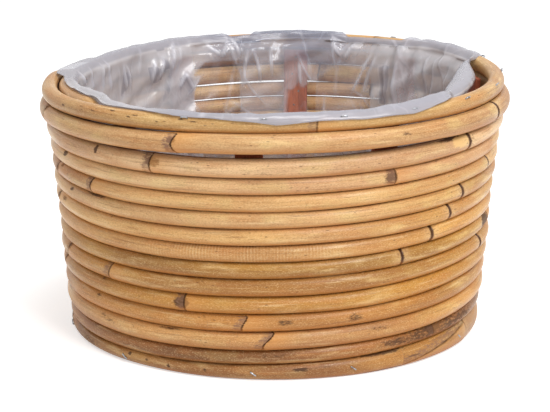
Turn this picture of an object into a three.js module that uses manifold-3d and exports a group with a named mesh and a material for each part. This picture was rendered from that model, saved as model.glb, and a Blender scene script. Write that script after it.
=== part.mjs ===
// A round planter basket of fifteen rattan canes. Each cane is bent into a hoop with one butt
// joint, and the hoops are stacked outside ten upright slats, so that the wall widens upwards.
// The rim cane overlaps itself. A slatted floor lies on an inner ring, and a film liner is
// stapled over the rim. Millimetres, +Z up, standing on Z = 0 with the wall's axis on Z.
import * as THREE from 'three';
import Module from 'manifold-3d';
import { mergeVertices } from 'three/addons/utils/BufferGeometryUtils.js';

// Wall: the canes' inner sides lie on a cone of this radius at the floor, which widens by
// this much for each millimetre of height.
const footInnerRadius = 160.1;
const wallWidening = 0.102;

// Cane diameters. The foot cane is flattened: its height, then its width across the wall.
const rimCane = 13;
const shoulderCane = 15;
const upperCane = 13.5;
const lowerCane = 14.4;
const skirtCane = 15.3;
const ankleCane = 12;
const footCane = 16.7;
const footCaneWidth = 14.7;
const floorRingCane = 10;

// How far some courses stand out past the cone. The rim cane lies a little inside it, and the
// cane on the foot cane stands out nearly as far as that one does.
const rimStandOut = -1.1;
const shoulderStandOut = 3.6;
const ankleSetBack = 1.1;
const ankleStandOut = footCaneWidth - ankleCane - ankleSetBack;

// Natural canes taper, so that the hoops lean: the foot cane is higher at the back right, by
// this much on half its height, and the others are a little thinner there.
const footTaper = 3.1;
const courseTaper = -0.05;
const taperBearing = 125;

// The two top courses bow up from the third, most at this bearing.
const bowRise = 4.6;
const bowBearing = -10;
const bowSharpness = 3;

// Gaps: between stacked hoops, in a butt joint, and between seated pieces.
const seam = 0.3;
const buttGap = 1;
const clearance = 0.3;

// The rim cane starts and ends at these bearings, and steps in before its overlap. Bearings
// are in degrees, from the front towards the right.
const rimStart = -115;
const rimEnd = -50;
const rimStepIn = 40;
const overlapGap = 1;
const overlapPush = 3.3;

// Slats.
const slatCount = 10;
const slatFirstBearing = -6.5;
const slatWidth = 22;
const slatThickness = 5;
const slatFootHeight = 1.5;

// Floor.
const floorRingLift = 2;
const boardCount = 7;
const boardThickness = 7;
const boardGap = 5;
const boardEdgeInset = 6;
const battenCount = 2;
const battenWidth = 28;
const battenThickness = 7;
const battenSpacing = 150;

// Film liner: it lies this far off the rim cane and over the slats' ends. The lip changes its
// reach over this many degrees, and leaves the inner rim cane this far past its end.
const filmThickness = 0.8;
const filmSeat = 0.6;
const filmOverSlat = 0.9;
const filmLipBearing = 15;
const filmPastEnd = 1;

// Staples: crown width, square wire and leg length. Those in the foot cane stand askew.
const stapleCrown = 6;
const stapleWire = 0.9;
const stapleLeg = 4.6;
const footStapleSkew = 35;
const footStapleBearings = [-44, -5.5, 21, 60.5, 101, 137, 173, 209, 245, 281];
const filmStapleCount = 12;
const filmStapleFirstBearing = -21;
const filmStaplePitch = 18.5;

// Facets: steps round the basket, and sides of a cane, which lie flat against each other.
// The rim cane and the film that lies on it share their steps.
const caneSteps = 36;
const caneSides = 8;
const filmSteps = 72;
const lipFacets = 4;
const lipEdgeStep = 1.5;
const boardArcSteps = 6;

// Courses from the rim down, each with its joint's bearing, measured from the front to the right.
const courses = [
  { name: 'rim_cane', diameter: rimCane, standOut: rimStandOut },
  { name: 'cane_02', diameter: shoulderCane, standOut: shoulderStandOut, joint: 66.5 },
  { name: 'cane_03', diameter: shoulderCane, joint: 54 },
  { name: 'cane_04', diameter: upperCane, joint: 150 },
  { name: 'cane_05', diameter: upperCane, joint: 68 },
  { name: 'cane_06', diameter: upperCane, joint: 54 },
  { name: 'cane_07', diameter: upperCane, joint: 49 },
  { name: 'cane_08', diameter: upperCane, joint: 43 },
  { name: 'cane_09', diameter: upperCane, joint: 33.5 },
  { name: 'cane_10', diameter: lowerCane, joint: 69 },
  { name: 'cane_11', diameter: lowerCane, joint: 165 },
  { name: 'cane_12', diameter: lowerCane, joint: 200 },
  { name: 'cane_13', diameter: skirtCane, joint: 140 },
  { name: 'cane_14', diameter: ankleCane, standOut: ankleStandOut, joint: 215 },
  { name: 'foot_cane', diameter: footCane, joint: 65.5 },
];
const rim = 0;
const foot = courses.length - 1;

const rattan = { color: 0xd6aa6e, roughness: 0.42, metalness: 0 };
const slatWood = { color: 0x8a4a32, roughness: 0.7, metalness: 0 };
const boardWood = { color: 0xb98a5e, roughness: 0.8, metalness: 0 };
const clearFilm = { color: 0xd8dae2, roughness: 0.25, metalness: 0 };
const steelWire = { color: 0x9a9a98, roughness: 0.35, metalness: 1 };

const radians = THREE.MathUtils.degToRad;
const wallAngle = Math.atan(wallWidening);
const halfSide = Math.PI / caneSides;

// A point at a bearing, which is measured from the front, -Y, towards +X.
function pointAt(radius, bearing, z) {
  return new THREE.Vector3(radius * Math.sin(bearing), -radius * Math.cos(bearing), z);
}

const innerConeRadius = (z) => footInnerRadius + wallWidening * z;

// How far the flat facets of a hoop dip inside its circle.
const facetSag = (radius) => radius * (1 - Math.cos(Math.PI / caneSteps));

// A smooth 0 to 1 as bearing runs from start to end.
const ease = (bearing, start, end) => THREE.MathUtils.smoothstep(bearing, start, end);

// Half the height of a course at a bearing.
function courseHalf(index, bearing) {
  const taper = index === foot ? footTaper : courseTaper;
  return courses[index].diameter / 2 + taper * Math.cos(bearing - radians(taperBearing));
}

// Half the width of a course across the wall.
const courseAcross = (index, bearing) => (
  index === foot ? footCaneWidth / 2 : courseHalf(index, bearing)
);

// Where the rim cane lies beside itself, it is pushed outwards, most at the overlap's middle.
function rimPush(bearing) {
  const middle = radians((rimStart + rimEnd) / 2);
  return overlapPush * Math.max(0, Math.cos(bearing - middle)) ** 2;
}

function bowAt(bearing) {
  const nearness = (1 + Math.cos(bearing - radians(bowBearing))) / 2;
  return bowRise * nearness ** bowSharpness;
}

// Underside, middle and top of a course at a bearing, stacked up from the floor.
function courseHeights(index, bearing) {
  let underside = 0;
  if (index < foot) {
    underside = courseHeights(index + 1, bearing).top + seam;
  }
  if (courses[index].name === 'cane_02') {
    underside += bowAt(bearing);
  }
  const half = courseHalf(index, bearing);
  return { underside, middle: underside + half, top: underside + 2 * half };
}

// Radius of a course's middle line: its inner side touches the slats' cone at its widest.
function courseRadius(index, bearing) {
  const upperCorner = courseHeights(index, bearing).middle
    + courseHalf(index, bearing) * Math.tan(halfSide);
  const standOut = (courses[index].standOut ?? 0) + (index === rim ? rimPush(bearing) : 0);
  return innerConeRadius(upperCorner) + courseAcross(index, bearing) + standOut;
}

// Cross-section of a cane: a polygon with flat sides above, below, inside and outside.
function caneSection({ radius, z, half, across }, bearing) {
  const points = [];
  for (let side = 0; side < caneSides; side += 1) {
    const angle = (2 * side + 1) * halfSide;
    const out = (across * Math.cos(angle)) / Math.cos(halfSide);
    const up = (half * Math.sin(angle)) / Math.cos(halfSide);
    points.push(pointAt(radius + out, bearing, z + up));
  }
  return points;
}

// A closed body through rings of points, with a fan to the middle of each end ring.
function loft(rings) {
  const sides = rings[0].length;
  const middles = [rings[0], rings[rings.length - 1]].map((ring) => {
    const sum = ring.reduce((total, point) => total.add(point), new THREE.Vector3());
    return sum.divideScalar(sides);
  });
  const positions = [...rings.flat(), ...middles].flatMap((point) => point.toArray());
  const firstMiddle = rings.length * sides;
  const lastRing = (rings.length - 1) * sides;
  const index = [];
  for (let side = 0; side < sides; side += 1) {
    const next = (side + 1) % sides;
    index.push(firstMiddle, side, next);
    index.push(firstMiddle + 1, lastRing + next, lastRing + side);
    for (let ring = 0; ring < rings.length - 1; ring += 1) {
      const here = ring * sides;
      const there = here + sides;
      index.push(here + side, there + side, there + next);
      index.push(here + side, there + next, here + next);
    }
  }
  const geometry = new THREE.BufferGeometry();
  geometry.setAttribute('position', new THREE.Float32BufferAttribute(positions, 3));
  geometry.setIndex(index);
  geometry.computeVertexNormals();
  return geometry;
}

// A cane bent from one bearing to another along a line given by placeAt.
function bentCane(start, end, steps, placeAt) {
  const rings = [];
  for (let step = 0; step <= steps; step += 1) {
    const bearing = THREE.MathUtils.lerp(start, end, step / steps);
    rings.push(caneSection(placeAt(bearing), bearing));
  }
  return loft(rings);
}

// A hoop that is open at its butt joint.
function jointedHoop(jointBearing, radius, placeAt) {
  const halfGap = buttGap / 2 / radius;
  const joint = radians(jointBearing);
  return bentCane(joint + halfGap, joint + 2 * Math.PI - halfGap, caneSteps, placeAt);
}

function courseHoop(index) {
  const { joint } = courses[index];
  const placeAt = (bearing) => ({
    radius: courseRadius(index, bearing),
    z: courseHeights(index, bearing).middle,
    half: courseHalf(index, bearing),
    across: courseAcross(index, bearing),
  });
  return jointedHoop(joint, courseRadius(index, radians(joint)), placeAt);
}

// How far in the rim cane lies at a bearing in degrees that keeps counting past 360.
function rimInset(degrees) {
  const overlapStart = rimStart + 360;
  return (rimCane + overlapGap) * ease(degrees, overlapStart - rimStepIn, overlapStart);
}

// Radius of the inner cane that the film lies on, for a bearing in degrees from 0 to 360.
function innerRimRadius(degrees) {
  const end = rimEnd + 360;
  const release = end + filmPastEnd;
  const released = 1 - ease(degrees, release, release + filmLipBearing / 2);
  return courseRadius(rim, radians(degrees)) - rimInset(degrees) * released;
}

function rimHoop() {
  const turns = 1 + (rimEnd - rimStart) / 360;
  const placeAt = (bearing) => ({
    radius: courseRadius(rim, bearing) - rimInset(THREE.MathUtils.radToDeg(bearing)),
    z: courseHeights(rim, bearing).middle,
    half: courseHalf(rim, bearing),
    across: courseAcross(rim, bearing),
  });
  const steps = Math.round(filmSteps * turns);
  return bentCane(radians(rimStart), radians(rimEnd + 360), steps, placeAt);
}

// Distances from the axis to a slat's outer and inner faces, at a height.
function slatFaceDistance(z) {
  const coneRadius = innerConeRadius(z);
  const edgeSag = coneRadius - Math.sqrt(coneRadius ** 2 - (slatWidth / 2) ** 2);
  const outer = coneRadius - facetSag(coneRadius) - edgeSag - clearance;
  return { outer, inner: outer - slatThickness / Math.cos(wallAngle) };
}

const slatBearing = (number) => radians(slatFirstBearing + (360 * number) / slatCount);

// The slats end under the rim cane, which lies on them where it overlaps itself.
const slatTop = (bearing) => courseHeights(rim, bearing).underside - clearance;

function slatMesh(number) {
  const bearing = slatBearing(number);
  const topDrop = slatThickness * Math.sin(wallAngle);
  const height = slatTop(bearing) - topDrop - slatFootHeight;
  const shape = new THREE.BoxGeometry(slatWidth, slatThickness, height / Math.cos(wallAngle));
  const middleHeight = slatFootHeight + height / 2;
  const distance = slatFaceDistance(middleHeight);
  const mesh = new THREE.Mesh(shape, new THREE.MeshStandardMaterial(slatWood));
  mesh.position.copy(pointAt((distance.outer + distance.inner) / 2, bearing, middleHeight));
  mesh.rotation.set(wallAngle, 0, bearing, 'ZXY');
  mesh.name = `slat_${String(number + 1).padStart(2, '0')}`;
  return mesh;
}

// Floor levels, from the ring that the boards lie on to the film's underside.
const floorRingMiddle = floorRingLift + floorRingCane / 2;
const floorRingCorner = floorRingMiddle - (floorRingCane / 2) * Math.tan(halfSide);
const floorRingRadius = slatFaceDistance(floorRingCorner).inner - clearance - floorRingCane / 2;
const boardUnderside = floorRingLift + floorRingCane + clearance;
const boardTop = boardUnderside + boardThickness;
const boardRadius = slatFaceDistance(boardUnderside).inner - clearance;
const filmUnderside = boardTop + clearance;

function floorRing() {
  const joint = slatFirstBearing + 180;
  const half = floorRingCane / 2;
  const place = { radius: floorRingRadius, z: floorRingMiddle, half, across: half };
  return jointedHoop(joint, floorRingRadius, () => place);
}

// A board runs front to back between two lines, its ends cut to the round floor.
function boardShape(left, right) {
  const leftAngle = Math.acos(left / boardRadius);
  const rightAngle = Math.acos(right / boardRadius);
  const outline = new THREE.Shape();
  outline.absarc(0, 0, boardRadius, -leftAngle, -rightAngle, false);
  outline.absarc(0, 0, boardRadius, rightAngle, leftAngle, false);
  const options = { depth: boardThickness, bevelEnabled: false, curveSegments: boardArcSteps };
  return new THREE.ExtrudeGeometry(outline, options);
}

function boardMesh(number) {
  const span = 2 * (boardRadius - boardEdgeInset);
  const width = (span - boardGap * (boardCount - 1)) / boardCount;
  const left = -span / 2 + number * (width + boardGap);
  const material = new THREE.MeshStandardMaterial(boardWood);
  const mesh = new THREE.Mesh(boardShape(left, left + width), material);
  mesh.position.z = boardUnderside;
  mesh.name = `floor_board_${number + 1}`;
  return mesh;
}

// A batten crosses under the boards and ends inside the floor ring.
function battenMesh(number) {
  const offset = (number - (battenCount - 1) / 2) * battenSpacing;
  const farEdge = Math.abs(offset) + battenWidth / 2;
  const ringInside = floorRingRadius - floorRingCane / 2 - facetSag(floorRingRadius);
  const halfLength = Math.sqrt((ringInside - clearance) ** 2 - farEdge ** 2);
  const shape = new THREE.BoxGeometry(2 * halfLength, battenWidth, battenThickness);
  const mesh = new THREE.Mesh(shape, new THREE.MeshStandardMaterial(boardWood));
  mesh.position.set(0, offset, boardUnderside - clearance - battenThickness / 2);
  mesh.name = `floor_batten_${number + 1}`;
  return mesh;
}

// How far round the rim cane the film's lip reaches, from one full turn's bearing in degrees:
// to the outer upper corner, but only to the top where the cane overlaps itself.
function lipEndAngle(degrees) {
  const stepInStart = rimStart + 360 - rimStepIn;
  const overlapEnd = rimEnd + 360 + filmPastEnd + filmLipBearing / 2;
  const drawnBack = ease(degrees, stepInStart - filmLipBearing, stepInStart);
  const spreadAgain = ease(degrees, overlapEnd, overlapEnd + filmLipBearing);
  return THREE.MathUtils.lerp(halfSide, Math.PI / 2, drawnBack - spreadAgain);
}

// The film's profile at a bearing in degrees, as radius and height from the floor's edge up
// the wall and over the rim, one side at a time. Depth is the offset from the underside.
function filmProfile(degrees, depth) {
  const bearing = radians(degrees);
  const lipRadius = innerRimRadius(degrees);
  const { middle } = courseHeights(rim, bearing);
  const corner = (courseHalf(rim, bearing) + filmSeat + depth) / Math.cos(halfSide);
  const top = slatTop(bearing) + filmOverSlat;
  const wallTop = Math.min(slatFaceDistance(top).inner - clearance, lipRadius - corner);
  const floorLevel = filmUnderside + depth;
  const points = [
    [slatFaceDistance(filmUnderside).inner - clearance - depth, floorLevel],
    [wallTop - depth, top],
  ];
  for (let facet = 0; facet <= lipFacets; facet += 1) {
    const cornerAngle = Math.PI - (2 * facet - 1) * halfSide;
    const edgeAngle = lipEndAngle(degrees) + (lipFacets - facet) * radians(lipEdgeStep);
    const angle = Math.max(cornerAngle, edgeAngle);
    points.push([lipRadius + corner * Math.cos(angle), middle + corner * Math.sin(angle)]);
  }
  return points;
}

function filmLiner() {
  const outside = [];
  const inside = [];
  for (let step = 0; step < filmSteps; step += 1) {
    const degrees = (360 * step) / filmSteps;
    outside.push(filmProfile(degrees, 0));
    inside.push(filmProfile(degrees, filmThickness));
  }
  const ringOf = (profiles, place) => profiles.map((profile, step) => {
    const [radius, z] = profile[place];
    return pointAt(radius, (2 * Math.PI * step) / filmSteps, z);
  });
  const places = outside[0].map((_, place) => place);
  const outerRings = places.map((place) => ringOf(outside, place));
  const innerRings = places.reverse().map((place) => ringOf(inside, place));
  return loft([...outerRings, ...innerRings].reverse());
}

// Frame of a staple: X along its crown, Z out of the surface that it is driven into.
function stapleFrame(origin, crownDirection, normal) {
  const across = new THREE.Vector3().crossVectors(normal, crownDirection);
  return new THREE.Matrix4().makeBasis(crownDirection, across, normal).setPosition(origin);
}

function footStapleFrame(number) {
  const bearing = radians(footStapleBearings[number]);
  const radius = courseRadius(foot, bearing) + courseAcross(foot, bearing) + clearance;
  const skew = radians(footStapleSkew) * (number % 2 ? -1 : 1);
  const tangent = new THREE.Vector3(Math.cos(bearing), Math.sin(bearing), 0);
  const crown = tangent.multiplyScalar(Math.cos(skew)).add(new THREE.Vector3(0, 0, Math.sin(skew)));
  const origin = pointAt(radius, bearing, courseHeights(foot, bearing).middle);
  return stapleFrame(origin, crown, pointAt(1, bearing, 0));
}

// Film staples are driven through the lip's sloping outer side, at half a right angle.
function filmStapleFrame(number) {
  const bearing = radians(filmStapleFirstBearing + number * filmStaplePitch);
  const reach = courseHalf(rim, bearing) + filmSeat + filmThickness + clearance;
  const slope = Math.PI / 4;
  const radius = courseRadius(rim, bearing) + reach * Math.cos(slope);
  const z = courseHeights(rim, bearing).middle + reach * Math.sin(slope);
  const tangent = new THREE.Vector3(Math.cos(bearing), Math.sin(bearing), 0);
  const normal = pointAt(Math.cos(slope), bearing, Math.sin(slope));
  return stapleFrame(pointAt(radius, bearing, z), tangent, normal);
}

function stapleShape() {
  const half = stapleCrown / 2;
  const outline = new THREE.Shape();
  outline.moveTo(-half, -stapleLeg);
  outline.lineTo(-half + stapleWire, -stapleLeg);
  outline.lineTo(-half + stapleWire, 0);
  outline.lineTo(half - stapleWire, 0);
  outline.lineTo(half - stapleWire, -stapleLeg);
  outline.lineTo(half, -stapleLeg);
  outline.lineTo(half, stapleWire);
  outline.lineTo(-half, stapleWire);
  outline.closePath();
  const shape = new THREE.ExtrudeGeometry(outline, { depth: stapleWire, bevelEnabled: false });
  shape.translate(0, 0, -stapleWire / 2);
  return shape.rotateX(Math.PI / 2);
}

function stapleMesh(frame, name) {
  const mesh = new THREE.Mesh(stapleShape(), new THREE.MeshStandardMaterial(steelWire));
  mesh.applyMatrix4(frame);
  mesh.name = name;
  return mesh;
}

// The holes that a staple's legs leave, with clearance all round.
function legHoles(frame) {
  const wide = stapleWire + 2 * clearance;
  const deep = stapleLeg + stapleWire + clearance;
  return [-1, 1].map((side) => {
    const hole = new THREE.BoxGeometry(wide, wide, deep);
    hole.translate((side * (stapleCrown - stapleWire)) / 2, 0, stapleWire - deep / 2);
    return hole.applyMatrix4(frame);
  });
}

const wasm = await Module();
wasm.setup();

function toSolid(geometry) {
  const bare = geometry.clone();
  bare.deleteAttribute('normal');
  bare.deleteAttribute('uv');
  const merged = mergeVertices(bare);
  return new wasm.Manifold(new wasm.Mesh({
    numProp: 3,
    vertProperties: Float32Array.from(merged.attributes.position.array),
    triVerts: Uint32Array.from(merged.index.array),
  }));
}

function withHoles(geometry, holes) {
  const cut = holes.reduce((solid, hole) => solid.subtract(toSolid(hole)), toSolid(geometry));
  const { vertProperties, triVerts } = cut.getMesh();
  const result = new THREE.BufferGeometry();
  result.setAttribute('position', new THREE.Float32BufferAttribute(vertProperties, 3));
  result.setIndex(Array.from(triVerts));
  result.computeVertexNormals();
  return result;
}

const basket = new THREE.Group();

function addPiece(name, geometry, finish) {
  const mesh = new THREE.Mesh(geometry, new THREE.MeshStandardMaterial(finish));
  mesh.name = name;
  basket.add(mesh);
}

const numbers = (count) => Array.from({ length: count }, (_, number) => number);
const footStapleFrames = numbers(footStapleBearings.length).map(footStapleFrame);
const filmStapleFrames = numbers(filmStapleCount).map(filmStapleFrame);
const footHoles = footStapleFrames.flatMap(legHoles);
const filmHoles = filmStapleFrames.flatMap(legHoles);

addPiece('rim_cane', withHoles(rimHoop(), filmHoles), rattan);
for (let index = rim + 1; index < foot; index += 1) {
  addPiece(courses[index].name, courseHoop(index), rattan);
}
addPiece('foot_cane', withHoles(courseHoop(foot), footHoles), rattan);
numbers(slatCount).forEach((number) => basket.add(slatMesh(number)));
addPiece('floor_ring', floorRing(), rattan);
numbers(boardCount).forEach((number) => basket.add(boardMesh(number)));
numbers(battenCount).forEach((number) => basket.add(battenMesh(number)));
addPiece('film_liner', withHoles(filmLiner(), filmHoles), clearFilm);
footStapleFrames.forEach((frame, number) => {
  basket.add(stapleMesh(frame, `foot_staple_${String(number + 1).padStart(2, '0')}`));
});
filmStapleFrames.forEach((frame, number) => {
  basket.add(stapleMesh(frame, `film_staple_${String(number + 1).padStart(2, '0')}`));
});

export default basket;
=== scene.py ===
"""Looks of a round planter basket: rattan hoops on upright slats, lined with clear film."""

import math
from typing import NamedTuple

import bmesh
import bpy
import numpy as np
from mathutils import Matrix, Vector


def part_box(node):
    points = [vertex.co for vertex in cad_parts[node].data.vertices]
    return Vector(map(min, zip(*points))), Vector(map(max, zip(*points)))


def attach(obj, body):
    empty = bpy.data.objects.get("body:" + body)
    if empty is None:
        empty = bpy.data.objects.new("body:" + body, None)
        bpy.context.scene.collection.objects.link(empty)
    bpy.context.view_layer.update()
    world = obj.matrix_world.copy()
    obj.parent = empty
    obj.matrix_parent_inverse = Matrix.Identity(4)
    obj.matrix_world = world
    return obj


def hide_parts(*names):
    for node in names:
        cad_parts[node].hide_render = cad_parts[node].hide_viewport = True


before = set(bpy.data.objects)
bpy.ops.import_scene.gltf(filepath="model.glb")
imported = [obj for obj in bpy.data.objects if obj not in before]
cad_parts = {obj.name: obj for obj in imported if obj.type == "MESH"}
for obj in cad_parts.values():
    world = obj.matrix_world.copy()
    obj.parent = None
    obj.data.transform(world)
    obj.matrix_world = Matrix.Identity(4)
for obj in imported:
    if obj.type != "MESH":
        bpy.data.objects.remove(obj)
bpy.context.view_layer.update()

# Lengths are in millimetres up to the meshes, which are in metres. Bearings are measured from
# the front, -Y, towards +X.
MM = 0.001

# The wall: the hoops' inner sides lie on a cone.
FOOT_INNER_RADIUS = 160.1
WALL_WIDENING = 0.102
SEAM = 0.3
JOINT_GAP = 1
# The solids' hoops are made of this many straight lengths.
SOLID_STEPS = 36
CORNER_RISE = math.tan(math.radians(22.5))

# The foot cane is flattened, and tallest at this bearing. The other canes hardly taper.
FOOT_WIDTH = 14.7
FOOT_TAPER = 3.1
COURSE_TAPER = -0.05
TAPER_BEARING = 125
# The second cane bows up off the third, most at this bearing.
BOW_RISE = 4.6
BOW_BEARING = -10
BOW_SHARPNESS = 3

# The rim cane starts and ends at these bearings. It steps in, over so many degrees, before it
# overlaps itself with this gap, and it is pushed outwards there.
RIM_START = -115
RIM_END = -50
RIM_STEP_IN = 40
RIM_OVERLAP_GAP = 1
RIM_PUSH = 3.3

# Slats and floor.
SLAT_COUNT = 10
SLAT_SPACING = 360 / SLAT_COUNT
SLAT_FIRST_BEARING = -6.5
SLAT_THICKNESS = 5
SLAT_HALF_WIDTH = 11
FLOOR_RING_SIZE = 10
BOARD_COUNT = 7
FLOOR_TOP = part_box("floor_board_4")[1][2] / MM

# Staples.
STAPLE_CROWN = 6
STAPLE_WIRE = 0.9
STAPLE_LEG = 4.6
FOOT_STAPLE_SKEW = -35
FILM_STAPLE_LIFT = 1.7
FOOT_STAPLE_BEARINGS = (-44, -5.5, 21, 60.5, 101, 137, 173, 209, 245, 281)
FILM_STAPLE_BEARINGS = tuple(-21 + 18.5 * number for number in range(12))

# Brad heads, how far from the axis they lie on the floor boards, how far their middles stand
# off the slats, and how deep they lie in the boards.
BRAD_RADIUS = 0.95
BRAD_HEIGHT = 0.3
BRAD_REACH = 146.0
BRAD_OFF_SLAT = 0.15
BRAD_DEPTH = 0.05


class Hoop(NamedTuple):
    """A course of the wall: its node, cane size, stand-out, joint bearing, bark colours, and how
    strongly some patches of it are straw-coloured."""

    node: str
    size: float
    stand_out: float
    joint: float
    bark: str
    shade: str
    straw: float = 0.15


HOOPS = (
    Hoop("rim_cane", 13, -1.1, RIM_START, "#c4985f", "#ab794a"),
    Hoop("cane_02", 15, 3.6, 66.5, "#cc9f6c", "#b08052", 0.36),
    Hoop("cane_03", 15, 0, 54, "#e9c090", "#ca9d72", 0.36),
    Hoop("cane_04", 13.5, 0, 150, "#ecc38c", "#cf9e70", 0.36),
    Hoop("cane_05", 13.5, 0, 68, "#dfb074", "#b98553", 0.36),
    Hoop("cane_06", 13.5, 0, 54, "#e2b57c", "#bd8b5a", 0.36),
    Hoop("cane_07", 13.5, 0, 49, "#e8b976", "#c8935c"),
    Hoop("cane_08", 13.5, 0, 43, "#dda767", "#bc8851"),
    Hoop("cane_09", 13.5, 0, 33.5, "#c28e44", "#986a34"),
    Hoop("cane_10", 14.4, 0, 69, "#c08740", "#9f6c36"),
    Hoop("cane_11", 14.4, 0, 165, "#c28a40", "#936430"),
    Hoop("cane_12", 14.4, 0, 200, "#c68a48", "#a06c39"),
    Hoop("cane_13", 15.3, 0, 140, "#d59e60", "#ac784b"),
    Hoop("cane_14", 12, 1.6, 215, "#a86f3c", "#7c502b"),
    Hoop("foot_cane", 16.7, 0, 65.5, "#b88246", "#905f35"),
)
RIM = 0
BOWED = 1
FOOT = len(HOOPS) - 1


def ease(value, start, end):
    """A smooth 0 to 1 as value runs from start to end."""
    share = np.clip((value - start) / (end - start), 0, 1)
    return share * share * (3 - 2 * share)


def half_height(place, bearing):
    """Half a course's height: the canes taper round the basket."""
    taper = FOOT_TAPER if place == FOOT else COURSE_TAPER
    return HOOPS[place].size / 2 + taper * np.cos(bearing - math.radians(TAPER_BEARING))


def half_width(place, bearing):
    """Half a course's width across the wall: only the foot cane is flattened."""
    return FOOT_WIDTH / 2 + 0 * bearing if place == FOOT else half_height(place, bearing)


def underside(place, bearing):
    """Height of a course's lowest side: the courses are stacked up from the foot."""
    if place == FOOT:
        return 0 * bearing
    below = place + 1
    level = underside(below, bearing) + 2 * half_height(below, bearing) + SEAM
    if place == BOWED:
        nearness = (1 + np.cos(bearing - math.radians(BOW_BEARING))) / 2
        level = level + BOW_RISE * nearness ** BOW_SHARPNESS
    return level


def middle(place, bearing):
    """Height of a course's middle line."""
    return underside(place, bearing) + half_height(place, bearing)


def hoop_radius(place, bearing):
    """Radius of a course's middle line: its inner side touches the slats' cone."""
    corner = middle(place, bearing) + CORNER_RISE * half_height(place, bearing)
    radius = FOOT_INNER_RADIUS + WALL_WIDENING * corner
    radius = radius + half_width(place, bearing) + HOOPS[place].stand_out
    if place == RIM:
        overlap_middle = math.radians((RIM_START + RIM_END) / 2)
        radius = radius + RIM_PUSH * np.maximum(0, np.cos(bearing - overlap_middle)) ** 2
    return radius


def rim_inset(degrees):
    """How far in the rim cane lies, at a bearing that keeps counting past a full turn."""
    overlap = RIM_START + 360
    return (HOOPS[RIM].size + RIM_OVERLAP_GAP) * ease(degrees, overlap - RIM_STEP_IN, overlap)


def around(radius, bearing, height):
    """Points in metres from radius, bearing in radians and height."""
    columns = (radius * np.sin(bearing), -radius * np.cos(bearing), height + 0 * bearing)
    return np.stack(columns, axis=-1) * MM


def linear(hex_colour):
    """An sRGB hex colour as linear RGBA."""
    channels = [int(hex_colour[place:place + 2], 16) / 255 for place in (1, 3, 5)]
    curve = [c / 12.92 if c <= 0.04045 else ((c + 0.055) / 1.055) ** 2.4 for c in channels]
    return (*curve, 1)


def add(tree, kind, inputs=None, **settings):
    """Adds a node with its settings, and links or sets its inputs by name or number."""
    node = tree.nodes.new(kind)
    for name, value in settings.items():
        setattr(node, name, value)
    for name, value in (inputs or {}).items():
        if isinstance(value, bpy.types.NodeSocket):
            tree.links.new(value, node.inputs[name])
        else:
            node.inputs[name].default_value = value
    return node


def new_material(name):
    """An empty material with its output, and its tree."""
    material = bpy.data.materials.new(name)
    material.use_nodes = True
    material.node_tree.nodes.clear()
    return material, material.node_tree


def finish_material(tree, shader):
    """Links a shader to the output."""
    add(tree, "ShaderNodeOutputMaterial", {"Surface": shader})


def give_surface(tree, inputs):
    """Ends a material with the plain surface that these inputs describe."""
    finish_material(tree, add(tree, "ShaderNodeBsdfPrincipled", inputs).outputs[0])


def math_node(tree, operation, *values, clamp=False):
    """The result of one math operation on sockets or numbers."""
    inputs = dict(enumerate(values))
    return add(tree, "ShaderNodeMath", inputs, operation=operation, use_clamp=clamp).outputs[0]


def remap(tree, value, low, high, start=0.0, end=1.0):
    """Value eased from start to end as it runs from low to high."""
    inputs = {"Value": value, "From Min": low, "From Max": high, "To Min": start, "To Max": end}
    return add(tree, "ShaderNodeMapRange", inputs, interpolation_type="SMOOTHSTEP").outputs[0]


def blend_colours(tree, share, first, second, how="MIX"):
    """Mixes two colours, given as sockets or hex text."""
    ends = [linear(end) if isinstance(end, str) else end for end in (first, second)]
    inputs = {0: share, 6: ends[0], 7: ends[1]}
    node = add(tree, "ShaderNodeMix", inputs, data_type="RGBA", blend_type=how)
    return node.outputs[2]


def tint(tree, colour, shade, most, value, low, high):
    """Mixes a shade into a colour, by up to this share as value runs from low to high."""
    return blend_colours(tree, remap(tree, value, low, high, 0, most), colour, shade)


def noise(tree, vector, scale, detail=3.0, roughness=0.55, shift=0.0):
    """Noise with its own scale along each axis, in features for each metre."""
    place = add(tree, "ShaderNodeMapping", {"Vector": vector, "Scale": scale})
    place.inputs["Location"].default_value = (shift, 0.37 * shift, 0.71 * shift)
    inputs = {"Vector": place.outputs[0], "Scale": 1, "Detail": detail, "Roughness": roughness}
    return add(tree, "ShaderNodeTexNoise", inputs).outputs["Fac"]


def field(tree, name):
    """The value of one of the mesh's own fields."""
    return add(tree, "ShaderNodeAttribute", attribute_name=name).outputs["Fac"]


def product(tree, *values):
    """The product of several sockets or numbers."""
    result = values[0]
    for value in values[1:]:
        result = math_node(tree, "MULTIPLY", result, value)
    return result


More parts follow.
